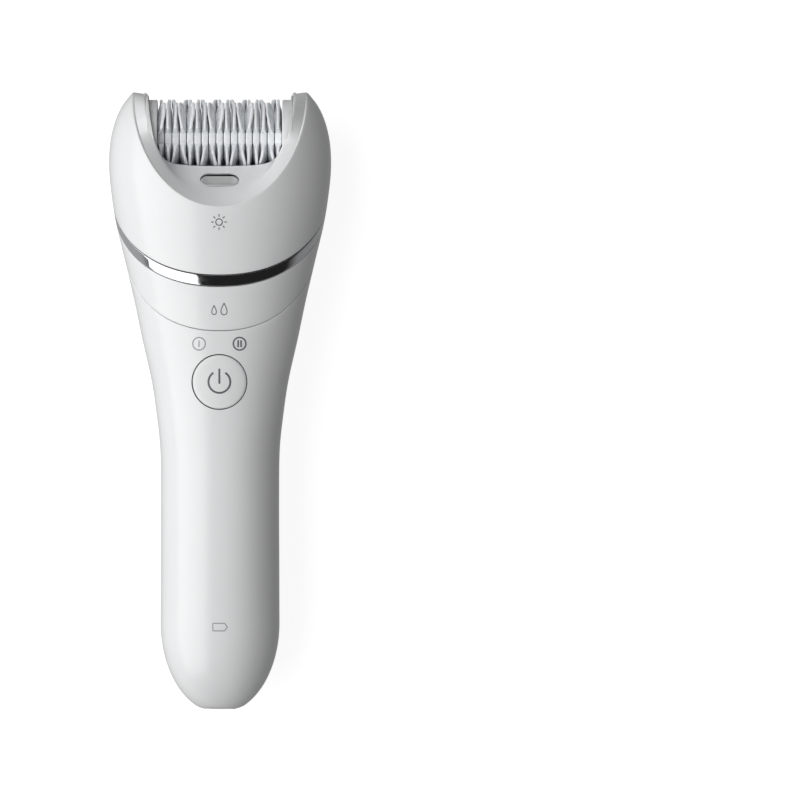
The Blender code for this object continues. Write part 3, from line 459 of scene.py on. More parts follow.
def rounded(half_u, half_v, corner, steps=10, centre=(0.0, 0.0)):
    """A rectangle with round corners."""
    points = []
    for i, (side_u, side_v) in enumerate(((1, 1), (-1, 1), (-1, -1), (1, -1))):
        for step in range(steps + 1):
            turn = math.radians(90.0 * (i + step / steps))
            u = side_u * (half_u - corner) + corner * math.cos(turn)
            v = side_v * (half_v - corner) + corner * math.sin(turn)
            points.append((centre[0] + u, centre[1] + v))
    return points


def facing_front(u, v, w):
    """The button face's own directions: u across, v along the body and w out of it."""
    return (u, v, w)


def on_ramp(u, v, w):
    """The light window's plane: u across, v up the ramp and w out of it."""
    lean = math.radians(LENS_LEAN)
    out = Vector((0, math.sin(lean), math.cos(lean)))
    up = Vector((0, math.cos(lean), -math.sin(lean)))
    return Vector((u, LENS_H, LENS_F)) + up * v + out * w


# -------------------- finishes


# The range that most of a noise node's values fall in, and the scale of a moulded grain.
NOISE_LOW = 0.3
NOISE_HIGH = 0.7
GRAIN_SCALE = 9000.0


class Look:
    """A material being wired up: node() adds a node, link() joins two sockets and set() fills in values."""

    def __init__(self, name):
        self.material = bpy.data.materials.new(name)
        self.material.use_nodes = True
        self.tree = self.material.node_tree
        self.shader = self.tree.nodes["Principled BSDF"]

    def node(self, kind):
        return self.tree.nodes.new(kind)

    def link(self, source, target):
        self.tree.links.new(source, target)

    def set(self, **values):
        for name, value in values.items():
            self.shader.inputs[name.replace("_", " ")].default_value = value

    def noise(self, scale, detail=3.0, roughness=0.5, stretch=(1.0, 1.0, 1.0)):
        """Noise over the piece's own metres, pulled out along some axes."""
        coordinates = self.node("ShaderNodeTexCoord")
        mapping = self.node("ShaderNodeMapping")
        mapping.inputs["Scale"].default_value = stretch
        noise = self.node("ShaderNodeTexNoise")
        noise.inputs["Scale"].default_value = scale
        noise.inputs["Detail"].default_value = detail
        noise.inputs["Roughness"].default_value = roughness
        self.link(coordinates.outputs["Object"], mapping.inputs["Vector"])
        self.link(mapping.outputs["Vector"], noise.inputs["Vector"])
        return noise.outputs["Fac"]

    def tint(self, value, low_colour, high_colour, low=NOISE_LOW, high=NOISE_HIGH):
        """Colours the surface by noise, from one colour to the other."""
        ramp = self.node("ShaderNodeValToRGB")
        stops = ((low, low_colour), (high, high_colour))
        for element, (position, colour) in zip(ramp.color_ramp.elements, stops):
            element.position = position
            element.color = (*colour, 1.0)
        self.link(value, ramp.inputs["Fac"])
        self.link(ramp.outputs["Color"], self.shader.inputs["Base Color"])

    def rough(self, value, low, high):
        """Varies the surface's roughness by noise, within a range."""
        mapped = self.node("ShaderNodeMapRange")
        mapped.inputs["From Min"].default_value = NOISE_LOW
        mapped.inputs["From Max"].default_value = NOISE_HIGH
        mapped.inputs["To Min"].default_value = low
        mapped.inputs["To Max"].default_value = high
        self.link(value, mapped.inputs["Value"])
        self.link(mapped.outputs["Result"], self.shader.inputs["Roughness"])

    def bump(self, height, strength, distance):
        bump = self.node("ShaderNodeBump")
        bump.inputs["Strength"].default_value = strength
        bump.inputs["Distance"].default_value = distance
        self.link(height, bump.inputs["Height"])
        self.link(bump.outputs["Normal"], self.shader.inputs["Normal"])


def scaled(colour, share):
    return [channel * share for channel in colour]


def moulded(name, colour, roughness, texture=0.0, shift=0.02, coat=0.0):
    """Injection-moulded plastic: a faint shift of colour, uneven gloss and, where asked, a fine grain."""
    look = Look(name)
    look.tint(look.noise(scale=55.0, detail=4.0, roughness=0.55), scaled(colour, 1 - shift), colour)
    look.rough(look.noise(scale=240.0, detail=5.0, roughness=0.6), roughness * 0.97, roughness * 1.04)
    look.set(IOR=1.5)
    if coat:
        look.set(Coat_Weight=coat, Coat_Roughness=0.14)
    if texture:
        look.bump(look.noise(scale=GRAIN_SCALE, detail=3.0, roughness=0.6), strength=0.35, distance=texture)
    else:
        look.bump(look.noise(scale=130.0, detail=2.0, roughness=0.4), strength=0.06, distance=0.0002)
    return look.material


def metal(name, colour, roughness, brushed=(1.0, 1.0, 1.0), bump=0.00002):
    """Bare or plated metal with a directional finish."""
    look = Look(name)
    marks = look.noise(scale=700.0, detail=4.0, roughness=0.6, stretch=brushed)
    look.tint(marks, scaled(colour, 0.9), colour)
    look.rough(marks, roughness * 0.75, roughness * 1.3)
    look.set(Metallic=1.0)
    if bump:
        look.bump(marks, strength=0.25, distance=bump)
    return look.material


def clear_plastic(name, tint, roughness):
    """A thick clear moulding that glows a little grey, as a light guide does when it is off."""
    look = Look(name)
    flow = look.noise(scale=320.0)
    look.tint(flow, scaled(tint, 0.94), tint)
    look.rough(flow, roughness * 0.7, roughness * 1.4)
    look.set(IOR=1.49, Transmission_Weight=0.35, Coat_Weight=0.4, Coat_Roughness=0.03)
    return look.material


def ceramic(name):
    """Tweezer discs: a cool, faintly translucent ceramic-filled plastic with a satin sheen."""
    look = Look(name)
    cloud = look.noise(scale=420.0, detail=5.0, roughness=0.6)
    dim, pale = (0.90, 0.93, 0.96), (0.95, 0.975, 1.0)
    look.tint(cloud, dim, pale, low=0.28, high=0.72)
    look.rough(cloud, 0.24, 0.36)
    look.set(IOR=1.54, Subsurface_Weight=0.25, Subsurface_Scale=0.0008, Subsurface_Radius=(1.0, 1.0, 1.0))
    look.bump(look.noise(scale=5200.0, detail=2.0), strength=0.12, distance=0.00002)
    return look.material


def rubber(name, colour):
    """Soft matte rubber with paler, dusty patches."""
    look = Look(name)
    dust = look.noise(scale=900.0, detail=5.0, roughness=0.65)
    look.tint(dust, colour, scaled(colour, 1.5), high=0.75)
    look.rough(dust, 0.6, 0.78)
    look.bump(look.noise(scale=6000.0, detail=2.0), strength=0.3, distance=0.00004)
    return look.material


def solder_mask(name):
    """Green solder mask with copper tracks showing as slightly raised, paler lanes."""
    look = Look(name)
    coordinates = look.node("ShaderNodeTexCoord")
    lanes = look.node("ShaderNodeTexBrick")
    lanes.inputs["Scale"].default_value = 420.0
    lanes.inputs["Mortar Size"].default_value = 0.03
    lanes.inputs["Color1"].default_value = (0.012, 0.11, 0.05, 1.0)
    lanes.inputs["Color2"].default_value = (0.016, 0.14, 0.065, 1.0)
    lanes.inputs["Mortar"].default_value = (0.05, 0.27, 0.12, 1.0)
    look.link(coordinates.outputs["Object"], lanes.inputs["Vector"])
    look.link(lanes.outputs["Color"], look.shader.inputs["Base Color"])
    look.rough(look.noise(scale=700.0), 0.3, 0.42)
    look.bump(lanes.outputs["Fac"], strength=0.4, distance=0.00003)
    return look.material


def printed(name, colour):
    """Pad-printed ink: a thin matte film with a slightly uneven gloss."""
    look = Look(name)
    film = look.noise(scale=1400.0, detail=4.0, roughness=0.6)
    look.tint(film, scaled(colour, 0.92), colour)
    look.rough(film, 0.38, 0.52)
    return look.material


LOOKS = {
    "gloss": moulded("white gloss plastic", (0.86, 0.865, 0.872), 0.26, coat=0.2),
    "rim": moulded("white scoop plastic", (0.84, 0.845, 0.852), 0.24, coat=0.15),
    "satin": moulded("white satin plastic", (0.84, 0.845, 0.85), 0.42, texture=0.00003),
    "inner": moulded("natural inner plastic", (0.78, 0.785, 0.79), 0.5, texture=0.00004, shift=0.05),
    "chrome": metal("polished chrome plate", (0.66, 0.665, 0.68), 0.085, bump=0.0),
    "ceramic": ceramic("translucent disc ceramic"),
    "steel": metal("turned steel", (0.56, 0.57, 0.58), 0.28, brushed=(0.15, 1.0, 1.0)),
    "can": metal("drawn steel can", (0.60, 0.61, 0.62), 0.34, brushed=(1.0, 0.12, 1.0)),
    "gold": metal("gold-plated brass", (0.90, 0.68, 0.30), 0.18),
    "acetal": moulded("acetal gear plastic", (0.80, 0.79, 0.75), 0.36, texture=0.00002, shift=0.04),
    "grey": moulded("grey structural plastic", (0.22, 0.225, 0.235), 0.48, texture=0.00005, shift=0.12),
    "lens": clear_plastic("clear light lens", (0.82, 0.825, 0.83), 0.16),
    "seal": rubber("soft seal rubber", (0.10, 0.10, 0.11)),
    "sleeve": moulded("shrink-wrapped cell sleeve", (0.05, 0.19, 0.42), 0.30, shift=0.1, coat=0.2),
    "board": solder_mask("green solder mask"),
    "ink": printed("grey printed ink", (0.13, 0.135, 0.145)),
    "pale_ink": printed("light grey printed ink", (0.36, 0.37, 0.385)),
}
# The look that a CAD node gets from its slot.
SLOT_LOOKS = {
    "white_gloss": "gloss",
    "white_satin": "satin",
    "chrome": "chrome",
    "ceramic_disc": "ceramic",
    "clear_lens": "lens",
    "steel": "steel",
    "acetal_gear": "acetal",
    "grey_plastic": "grey",
    "seal_rubber": "seal",
    "cell_sleeve": "sleeve",
    "board_green": "board",
    "gold_contact": "gold",
}
# The CAD nodes whose look isn't their slot's.
NODE_LOOKS = {"motor_can": "can", "head_base": "inner", "neck_plug": "inner", "chassis": "inner"}


# -------------------- handle shells, collar and chrome ring


def rounded_edge(reach=EDGE_ROUND, steps=4):
    """A quarter turn of an edge, as (back from the end, in from the skin) pairs that start on the skin."""
    turns = [math.pi / 2 * i / steps for i in range(steps + 1)]
    return [(reach * (1 - math.sin(turn)), reach * (1 - math.cos(turn))) for turn in turns]


def edge_profile(low, high, rows, top_round=EDGE_ROUND):
    """Outside of a wall's section from low to high with rounded ends, as (height, inset) pairs."""
    bottom = min(EDGE_ROUND, (high - low) / 3)
    top = min(top_round, (high - low) / 3)
    profile = [(low + back, into) for back, into in reversed(rounded_edge(bottom))]
    profile += [(low + bottom + (high - low - bottom - top) * row / rows, 0.0) for row in range(1, rows)]
    profile += [(high - back, into) for back, into in rounded_edge(top)]
    return profile


def band_mesh(low_seam, high_seam, wall, rows, gap_low, gap_high):
    """A ring of the body's wall between two seams, with a fine gap at each."""
    loops = []
    for angle in ring_angles():
        low = seam_height(angle, low_seam) + gap_low / 2
        high = seam_height(angle, high_seam) - gap_high / 2
        loop = [skin(angle, h, into) for h, into in edge_profile(low, high, rows)]
        loop += [skin(angle, high, wall), skin(angle, low, wall)]
        loops.append(loop)
    return swept(loops, cyclic=True)


def foot_outline(angle, h):
    """The handle's outside near the foot, where the dome's edge is rounded into the flat socket face."""
    below = max(1 - h / FOOT_ROUND, 0.0)
    keep = 1 - FOOT_TUCK * (1 - math.sqrt(1 - below**2))
    point = skin(angle, h)
    return Vector((point.x * keep, point.y, point.z * keep))


def handle_shell_mesh(side):
    """The front half (side 1) or the back half (side -1) of the handle, as a closed wall.

    Its outside turns in at the collar's seam, its inside comes back down to the foot, and the loop ends
    round the mouth of the charging socket. The two halves meet in a fine line down each side.
    """
    count = COLUMNS // 2
    dome = [FOOT_TOP * (1 - math.cos(math.pi / 2 * row / DOME_ROWS)) for row in range(DOME_ROWS + 1)]
    loops = []
    for i in range(count + 1):
        angle = side * math.pi * i / count
        top = seam_height(angle, collar_seam) - SEAM_GAP / 2
        rise = (top - EDGE_ROUND - FOOT_TOP) / SHELL_ROWS
        rows = dome + [FOOT_TOP + rise * row for row in range(1, SHELL_ROWS)]
        loop = [foot_outline(angle, h) for h in rows]
        loop += [skin(angle, top - back, into) for back, into in rounded_edge()]
        loop += [skin(angle, h, HANDLE_WALL) for h in (top, *INNER_HEIGHTS)]
        mouth_x = SOCKET_MOUTH[0] * powered(math.cos(angle), 0.5)
        mouth_f = SOCKET_MOUTH[1] * powered(math.sin(angle), 0.5)
        loop += [Vector((mouth_x, h, mouth_f)) for h in (SOCKET_MOUTH_DEPTH, 0.0)]
        if i in (0, count):
            for point in loop:
                point.z = side * SHELL_GAP / 2
        loops.append(loop)
    return swept(loops, cyclic=False)


def make_handle():
    """The shells, with their holes for the button and the release pad, the collar and the chrome ring."""
    front = mesh_piece("front_shell_skin", handle_shell_mesh(1), "handle", ("front_shell",), "gloss")
    button_hole = circle(BUTTON_HOLE_RADIUS, centre=(0.0, BUTTON_H))
    cut_through(front, cutter("button_hole", button_hole, *BUTTON_HOLE_F, facing_front))
    back = mesh_piece("back_shell_skin", handle_shell_mesh(-1), "handle", ("back_shell",), "gloss")
    u, v = RELEASE_HALF
    release_hole = rounded(u + SEAM_GAP, v + SEAM_GAP, RELEASE_CORNER + SEAM_GAP, centre=(0.0, RELEASE_H))
    cut_through(back, cutter("release_hole", release_hole, *RELEASE_HOLE_F, facing_front))
    collar = band_mesh(collar_seam, ring_seam, HANDLE_WALL, 10, SEAM_GAP, SEAM_GAP)
    mesh_piece("neck_collar_skin", collar, "handle", ("neck_collar",), "gloss")
    ring = band_mesh(ring_seam, head_seam, RING_WALL, 6, SEAM_GAP, HEAD_GAP)
    mesh_piece("chrome_ring_skin", ring, "handle", ("chrome_ring",), "chrome")


def button_mesh():
    """A round cap that follows the button face, with a softly rounded edge and a stem down to the switch."""
    low, high = BUTTON_STEM_F
    loops = []
    centre = (0.0, BUTTON_H)
    for radius, f in ((BUTTON_STEM_RADIUS, low), (BUTTON_STEM_RADIUS, high), (BUTTON_RADIUS, high)):
        loops.append([Vector((x, h, f)) for x, h in circle(radius, BUTTON_STEPS, centre)])
    turn_in = ((0.0, 0.75), (0.03, 0.55), (0.12, 0.4), (0.28, 0.28), (0.5, 0.22), (0.9, BUTTON_DROP))
    edge = [(BUTTON_RADIUS - inset, drop) for inset, drop in turn_in]
    face = [(radius, BUTTON_DROP) for radius in (6.0, 4.5, 3.0, 1.5, 0.3)]
    for radius, drop in edge + face:
        points = circle(radius, BUTTON_STEPS, centre)
        loops.append([Vector((x, h, skin_depth(x, h) - drop)) for x, h in points])
    return swept(loops, cyclic=False)


def release_mesh():
    """The pad in the back that frees the head: its face follows the skin, a little below it."""
    outline = rounded(*RELEASE_HALF, RELEASE_CORNER)
    loops = [[Vector((u, RELEASE_H + v, RELEASE_FLOOR_F)) for u, v in outline]]
    edge = ((1.0, 0.75), (0.985, 0.5), (0.955, 0.32), (0.91, RELEASE_DROP))
    face = [(shrink, RELEASE_DROP) for shrink in (0.7, 0.45, 0.2, 0.02)]
    for shrink, drop in (*edge, *face):
        points = [(u * shrink, RELEASE_H + v * shrink) for u, v in outline]
        loops.append([Vector((x, h, skin_depth(x, h, -1) + drop)) for x, h in points])
    return swept(loops, cyclic=False)


def grip_bar(middle):
    """A thin plate across the release pad, which stands a little proud of the pad's face."""
    outline = rounded(*GRIP_HALF, GRIP_CORNER, 6, (0.0, middle))
    loops = [[(x, h, skin_depth(x, h, -1) + sunk) for x, h in outline] for sunk in GRIP_SUNK]
    return swept(loops, cyclic=False)


def merged(meshes):
    """One bmesh that holds several, each left as its own island."""
    whole = bmesh.new()
    for bm in meshes:
        mesh = bpy.data.meshes.new("part of a piece")
        bm.to_mesh(mesh)
        bm.free()
        whole.from_mesh(mesh)
        bpy.data.meshes.remove(mesh)
    return whole


def latch_arm():
    """The flat arm under the pad that reaches up to the head: a strip whose far corners are cut off."""
    half, corner, end = ARM_HALF_WIDTH, ARM_CORNER, ARM_HIGH_H
    outline = [(-half, ARM_LOW_H), (half, ARM_LOW_H), (half, end - corner), (half - corner, end),
               (corner - half, end), (-half, end - corner)]
    return swept([[(x, h, f) for x, h in outline] for f in ARM_F], cyclic=False)


def spring_mesh():
    """The release pad's coil spring, drawn at its rest length."""
    loops = []
    steps = round(SPRING_TURNS * SPRING_TURN_STEPS)
    up = Vector((0, 0, 1))
    for step in range(steps + 1):
        share = step / steps
        turn = math.tau * SPRING_TURNS * share
        out = Vector((math.cos(turn), math.sin(turn), 0.0))
        foot = Vector((0.0, RELEASE_H, SPRING_LOW + (SPRING_HIGH - SPRING_LOW) * share))
        centre = foot + out * SPRING_RADIUS
        leans = [math.tau * side / SPRING_SIDES for side in range(SPRING_SIDES)]
        loops.append([centre + out * SPRING_WIRE * math.cos(lean) + up * (SPRING_WIRE * math.sin(lean))
                      for lean in leans])
    return swept(loops, cyclic=False)


def make_buttons():
    mesh_piece("power_button_cap", button_mesh(), "button", ("power_button",), "satin", sharp=50.0)
    grips = [grip_bar(RELEASE_H + step) for step in (-GRIP_SPACING, 0.0, GRIP_SPACING)]
    pad = merged([release_mesh(), latch_arm(), *grips])
    mesh_piece("release_pad", pad, "release", ("release_button",), "satin", sharp=50.0)
    spring = mesh_piece("release_coil", spring_mesh(), "handle", ("release_spring",), "steel")
    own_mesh(spring)


# -------------------- head shell and scooped insert


def softened(points, radii, steps=5):
    """A path with its inner corners rounded: radii holds how far from each corner its curve starts."""
    path = [points[0]]
    for before, corner, after, reach in zip(points, points[1:], points[2:], radii):
        start = corner + (before - corner).normalized() * min(reach, (before - corner).length * 0.45)
        end = corner + (after - corner).normalized() * min(reach, (after - corner).length * 0.45)
        for step in range(steps + 1):
            t = step / steps
            path.append(start * (1 - t) ** 2 + corner * 2 * t * (1 - t) + end * t**2)
    path.append(points[-1])
    return path


def opening_point(angle):
    """The drum opening's edge, which lies on the trough's cylinder: x and the turn about the drum axis.

    The powers give it an almost straight lip, round corners and steep sides.
    """
    quadrant, within = divmod(angle, math.pi / 2)
    share = within / (math.pi / 2)
    if quadrant % 2:
        share = 1 - share
    side = math.cos(math.pi / 2 * (share**1.75 + 1.2 * share**4 * (1 - share)))
    x = math.copysign(TROUGH_HALF_WIDTH * side**0.4, math.cos(angle))
    lip = LIP_FRONT_H if math.sin(angle) > 0 else LIP_BACK_H
    h = lip + (DRUM_H + TROUGH_RADIUS - lip) * (LIP_BOW * side + (1 - LIP_BOW) * side**4)
    return x, math.asin(min((h - DRUM_H) / TROUGH_RADIUS, 1.0))


def around_axle(x, radius, turn, front=1):
    """The point at x that lies a radius and a turn round the drum's axis, towards the front or the back."""
    return Vector((x, DRUM_H + radius * math.sin(turn), DRUM_F + front * (radius * math.cos(turn))))


def on_trough(x, turn, front=1):
    return around_axle(x, TROUGH_RADIUS, turn, front)


def rim_points(angle):
    """Across the band at an angle: its edge at the shell, its inner crease and the drum opening's edge."""
    edge = skin(angle, rim_height(angle), RIM_LIP + RIM_GAP)
    front = 1 if math.sin(angle) >= 0 else -1
    lip_x, rise = opening_point(angle)
    lip = on_trough(lip_x, rise, front)
    drop = (LENGTH - edge.y) * RIM_DROP_SHARE
    floor = scoop_drop(front * SCOOP_DEEP_F) * RIM_DROP_SHARE
    crease = Vector((0.0, LENGTH - RIM_TIP_DROP - drop, 0.0))
    crease.x = math.copysign(RIM_HALF_WIDTH * math.sqrt(max(1 - (drop / floor) ** 2, 0.0)), edge.x)
    to_crease, to_lip = (crease - edge).xy.length, (lip - crease).xy.length
    share = to_crease / (to_crease + to_lip)
    crease.z = edge.z + (lip.z - edge.z) * share - front * RIM_HOLLOW * abs(math.sin(2 * angle))
    reach = math.hypot(crease.y - DRUM_H, crease.z - DRUM_F)
    clear = max(TROUGH_RADIUS + CREASE_CLEARANCE, reach)
    crease.z = DRUM_F + front * math.sqrt(clear**2 - (crease.y - DRUM_H) ** 2)
    return edge, crease, lip


def insert_column(angle):
    """The insert's section at an angle, from under the shell's rim over the band and shelf to the trough."""
    edge, crease, lip = rim_points(angle)
    side = abs(math.sin(angle))
    front = 1 if math.sin(angle) >= 0 else -1
    tuck = skin(angle, edge.y - RIM_TUCK, RIM_LIP + RIM_GAP)
    x, rise = opening_point(angle)
    into = on_trough(x, rise - 2 * LIP_ROUND / TROUGH_RADIUS, front)
    if side < MID_DEPTH:
        into = on_trough(x * SIDE_TUCK, rise)
    crease_round = CREASE_ROUND + CREASE_ROUND_EXTRA * side**10
    return softened([tuck, edge, crease, lip, into], (RIM_BEND, crease_round, LIP_ROUND))


def insert_mesh():
    """The visible face of the insert: the band and shelf round the opening, the trough and its end walls."""
    bm = bmesh.new()
    columns = [[bm.verts.new(point) for point in insert_column(angle)] for angle in ring_angles()]
    rows = len(columns[0])
    for i in range(COLUMNS):
        here, there = columns[i - 1], columns[i]
        for k in range(rows - 1):
            bm.faces.new((here[k], there[k], there[k + 1], here[k + 1]))
    half = COLUMNS // 2
    strips = []
    for i in range(half + 1):
        x, rise = opening_point(ring_angles()[i])
        back_rise = opening_point(ring_angles()[-i % COLUMNS])[1]
        lead = 0.0 if i in (0, half) else 2 * LIP_ROUND / TROUGH_RADIUS
        start, end = rise - lead, -math.pi - (back_rise - lead)
        strip = [columns[i][-1]]
        for step in range(1, TROUGH_STEPS):
            strip.append(bm.verts.new(on_trough(x, start + (end - start) * step / TROUGH_STEPS)))
        strip.append(columns[-i % COLUMNS][-1])
        strips.append(strip)
    for strip, following in zip(strips, strips[1:]):
        for k in range(TROUGH_STEPS):
            corners = [strip[k], strip[k + 1], following[k + 1], following[k]]
            bm.faces.new(list(dict.fromkeys(corners)))
    for strip in (strips[0], strips[-1]):
        wall = strip[:-1]
        hub = []
        for corner in wall:
            arm = Vector((0, corner.co.y - DRUM_H, corner.co.z - DRUM_F)).normalized() * BUSH_HOLE
            hub.append(bm.verts.new((strip[1].co.x, DRUM_H + arm.y, DRUM_F + arm.z)))
        for k in range(len(wall)):
            bm.faces.new((wall[k - 1], wall[k], hub[k], hub[k - 1]))
    return bm


def head_shell_mesh():
    """The head's outer shell from the chrome ring to the scooped rim, with a step inside for the insert."""
    loops = []
    for angle in ring_angles():
        low = seam_height(angle, head_seam) + HEAD_GAP / 2
        high = rim_height(angle)
        loop = [skin(angle, h, into) for h, into in edge_profile(low, high, 26, RIM_ROUND)]
        ledge = high - RIM_LEDGE
        loop += [skin(angle, high - RIM_STEP, RIM_LIP), skin(angle, ledge, RIM_LIP)]
        loop += [skin(angle, h, HEAD_WALL) for h in (ledge - RIM_LEDGE_FALL, (low + ledge) / 2, low)]
        loops.append(loop)
    return swept(loops, cyclic=True)


def thicken(piece, thickness):
    """Gives an open surface a wall behind its visible face."""
    solid = piece.modifiers.new("wall", "SOLIDIFY")
    solid.thickness = thickness * MM
    solid.offset = -1.0
    apply_modifier(piece, solid)


def stadium(half_u, half_v, centre=(0.0, 0.0)):
    """A rectangle whose ends are half circles."""
    return rounded(half_u, half_v, half_v - 0.01, 16, centre)


def lens_mesh():
    """The light window: a clear stadium with a rounded edge and a dished face, set low in the ramp.

    It sits towards the foot of its hole, which leaves a slit along the upper edge.
    """
    loops = []
    half_u, half_v = LENS_HALF[0], LENS_HALF[1] - LENS_SLIT / 2
    side = ((0.0, -1.9), (0.0, -0.45), (0.05, -0.36), (0.16, -0.3))
    dish = ((0.4, -0.36), (0.8, -0.56), (1.3, -0.78), (1.9, -0.94), (half_v - 0.02, -1.0))
    for inset, w in (*side, *dish):
        outline = stadium(half_u - inset, half_v - inset, (0.0, -LENS_SLIT / 2))
        loops.append([on_ramp(u, v, w - LENS_TILT * v) for u, v in outline])
    return swept(loops, cyclic=False)


def make_head():
    mesh_piece("head_shell_skin", head_shell_mesh(), "head", ("head_shell",), "gloss")
    insert = mesh_piece("head_insert_skin", insert_mesh(), "head", ("head_insert",), "rim")
    thicken(insert, INSERT_SKIN)
    window_hole = stadium(LENS_HALF[0] + LENS_GAP, LENS_HALF[1] + LENS_GAP)
    cut_through(insert, cutter("window_hole", window_hole, -LENS_HOLE_REACH, LENS_HOLE_REACH, on_ramp))
    mesh_piece("light_window", lens_mesh(), "head", ("light_lens",), "lens", sharp=60.0)


# -------------------- tweezer discs


def disc_shift(index, lobe):
    """How far a lobe leans towards the neighbour that it pinches hairs against."""
    towards = 1 if (index + lobe) % 2 == 0 else -1
    if index == DISC_COUNT - 1 and towards > 0:
        towards = 0
    lean = DISC_PITCH / 2 - (DISC_TIP_THICKNESS + DISC_GAP) / 2
    pair = index + (towards - 1) // 2
    return towards * lean + DISC_STAGGER * (-1) ** (pair // 2 + lobe) * abs(towards)


def disc_mesh(index):
    """One notched disc. Its four lobes lean left or right by turns, and thin towards a rounded rim.

    The lean grows slowly away from every second notch and at once beside the others.
    """
    x = (index - (DISC_COUNT - 1) / 2) * DISC_PITCH
    loops = []
    for step in range(DISC_STEPS):
        degrees = 360.0 * step / DISC_STEPS
        lobe = int(degrees // DISC_LOBE_SPAN)
        from_notch = min(degrees % DISC_LOBE_SPAN, DISC_LOBE_SPAN - degrees % DISC_LOBE_SPAN)
        rise = smooth((from_notch - DISC_NOTCH_HALF_ANGLE) / (DISC_FLANK_ANGLE / 2))
        ramp = DISC_FLANK_ANGLE if round(degrees / DISC_LOBE_SPAN) % 2 else DISC_BEND_ANGLE
        bend = min(max((from_notch - DISC_NOTCH_HALF_ANGLE) / ramp, 0.0), 1.0)
        reach = DISC_NOTCH_RADIUS + (DISC_RADIUS - DISC_NOTCH_RADIUS) * rise
        shift = disc_shift(index, lobe) * bend
        turn = math.radians(DISC_NOTCH_PHASE + degrees)
        left, right = [], []
        for share in DISC_SHARES:
            radius = DISC_BORE + (reach - DISC_BORE) * share
            out = max(radius - DISC_HUB_RADIUS, 0.0) / (DISC_RADIUS - DISC_HUB_RADIUS)
            thin = min(DISC_THINNING * out, 1.0)
            thickness = DISC_HUB_THICKNESS + (DISC_TIP_THICKNESS - DISC_HUB_THICKNESS) * thin
            thickness *= DISC_EDGE_THINNING.get(share, 1.0)
            for side, points in ((-1, left), (1, right)):
                points.append(around_axle(x + shift * out + side * thickness / 2, radius, turn))
        loops.append(left + right[::-1])
    return swept(loops, cyclic=True)


def cover_mesh(side):
    """The plain ring beside the last disc, with rounded edges. The turns t are in radians."""
    low, high = COVER_X
    radius, bore, edge = COVER_RADIUS, COVER_BORE, COVER_EDGE
    profile = [(bore, low), (radius - edge, low)]
    profile += [(radius - edge + edge * math.sin(t), low + edge - edge * math.cos(t)) for t in (0.5, 1.0)]
    profile += [(radius, low + edge), (radius, high - edge)]
    profile += [(radius - edge + edge * math.cos(t), high - edge + edge * math.sin(t)) for t in (0.6, 1.1)]
    profile += [(radius - edge, high), (bore, high)]
    turns = [math.tau * step / COVER_STEPS for step in range(COVER_STEPS)]
    return swept([[around_axle(side * x, r, turn) for r, x in profile] for turn in turns], cyclic=True)


def make_drum():
    for index in range(DISC_COUNT):
        node = f"disc_{index + 1:02d}"
        mesh_piece(f"tweezer_{node}", disc_mesh(index), "drum", (node,), "ceramic", sharp=50.0)
    for name, side in (("left", -1), ("right", 1)):
        node = f"disc_side_cover_{name}"
        mesh_piece(f"{node}_ring", cover_mesh(side), "head", (node,), "satin")


# -------------------- printed marks


def ribbon(path, width, sink=0.0, closed=False):
    """A thin printed line that follows the button face along a path of (x, h) points."""
    loops = []
    count = len(path)
    for i in range(count):
        before = path[i - 1] if closed or i else path[i]
        after = path[(i + 1) % count] if closed or i < count - 1 else path[i]
        along = Vector((after[0] - before[0], after[1] - before[1])).normalized()
        loop = []
        for offset, lift in ((-1, -PRINT_DEPTH), (1, -PRINT_DEPTH), (1, PRINT_LIFT), (-1, PRINT_LIFT)):
            x = path[i][0] - along.y * width / 2 * offset
            h = path[i][1] + along.x * width / 2 * offset
            loop.append((x, h, skin_depth(x, h) + (lift - sink)))
        loops.append(loop)
    return swept(loops, cyclic=closed)


def arc(centre, radius, start, end, steps=64):
    turns = [math.radians(start + (end - start) * i / steps) for i in range(steps + 1)]
    return [(centre[0] + radius * math.cos(a), centre[1] + radius * math.sin(a)) for a in turns]


def line(start, end, steps=12):
    return [(start[0] + (end[0] - start[0]) * i / steps, start[1] + (end[1] - start[1]) * i / steps)
            for i in range(steps + 1)]


def drop_outline(centre, size, steps=40):
    """A water drop: a round foot drawn up to a point."""
    points = []
    for i in range(steps):
        turn = math.tau * i / steps
        up = math.cos(turn)
        points.append((centre[0] + size * 0.36 * math.sin(turn) * math.sin(turn / 2) ** 1.4,
                       centre[1] + size * 0.5 * up))
    return points


def ring_line(centre, radius, width):
    return ribbon(arc(centre, radius, 0, 360)[:-1], width, closed=True)


def upright(x, start, end, width, sink=0.0):
    return ribbon(line((x, start), (x, end)), width, sink)


def make_power_sign():
    centre = (0.0, BUTTON_H)
    open_ring = arc(centre, POWER_RADIUS, 90 + POWER_GAP_ANGLE, 450 - POWER_GAP_ANGLE)
    power = [ribbon(open_ring, POWER_LINE, sink=BUTTON_DROP),
             upright(0.0, BUTTON_H + POWER_BAR[0], BUTTON_H + POWER_BAR[1], POWER_LINE, BUTTON_DROP)]
    mesh_piece("power_sign", merged(power), "button", (), "ink")


def make_speed_signs():
    half, ring_width, bar_width = SPEED_ONE
    first = [ring_line((-SPEED_X, SPEED_H), SPEED_RADIUS, ring_width),
             upright(-SPEED_X, SPEED_H - half, SPEED_H + half, bar_width)]
    mesh_piece("speed_one_sign", merged(first), "handle", (), "pale_ink")
    half, ring_width, bar_width = SPEED_TWO
    second = [ring_line((SPEED_X, SPEED_H), SPEED_RADIUS, ring_width)]
    for across in (-SPEED_TWO_SPREAD, SPEED_TWO_SPREAD):
        second.append(upright(SPEED_X + across, SPEED_H - half, SPEED_H + half, bar_width))
    mesh_piece("speed_two_sign", merged(second), "handle", (), "ink")


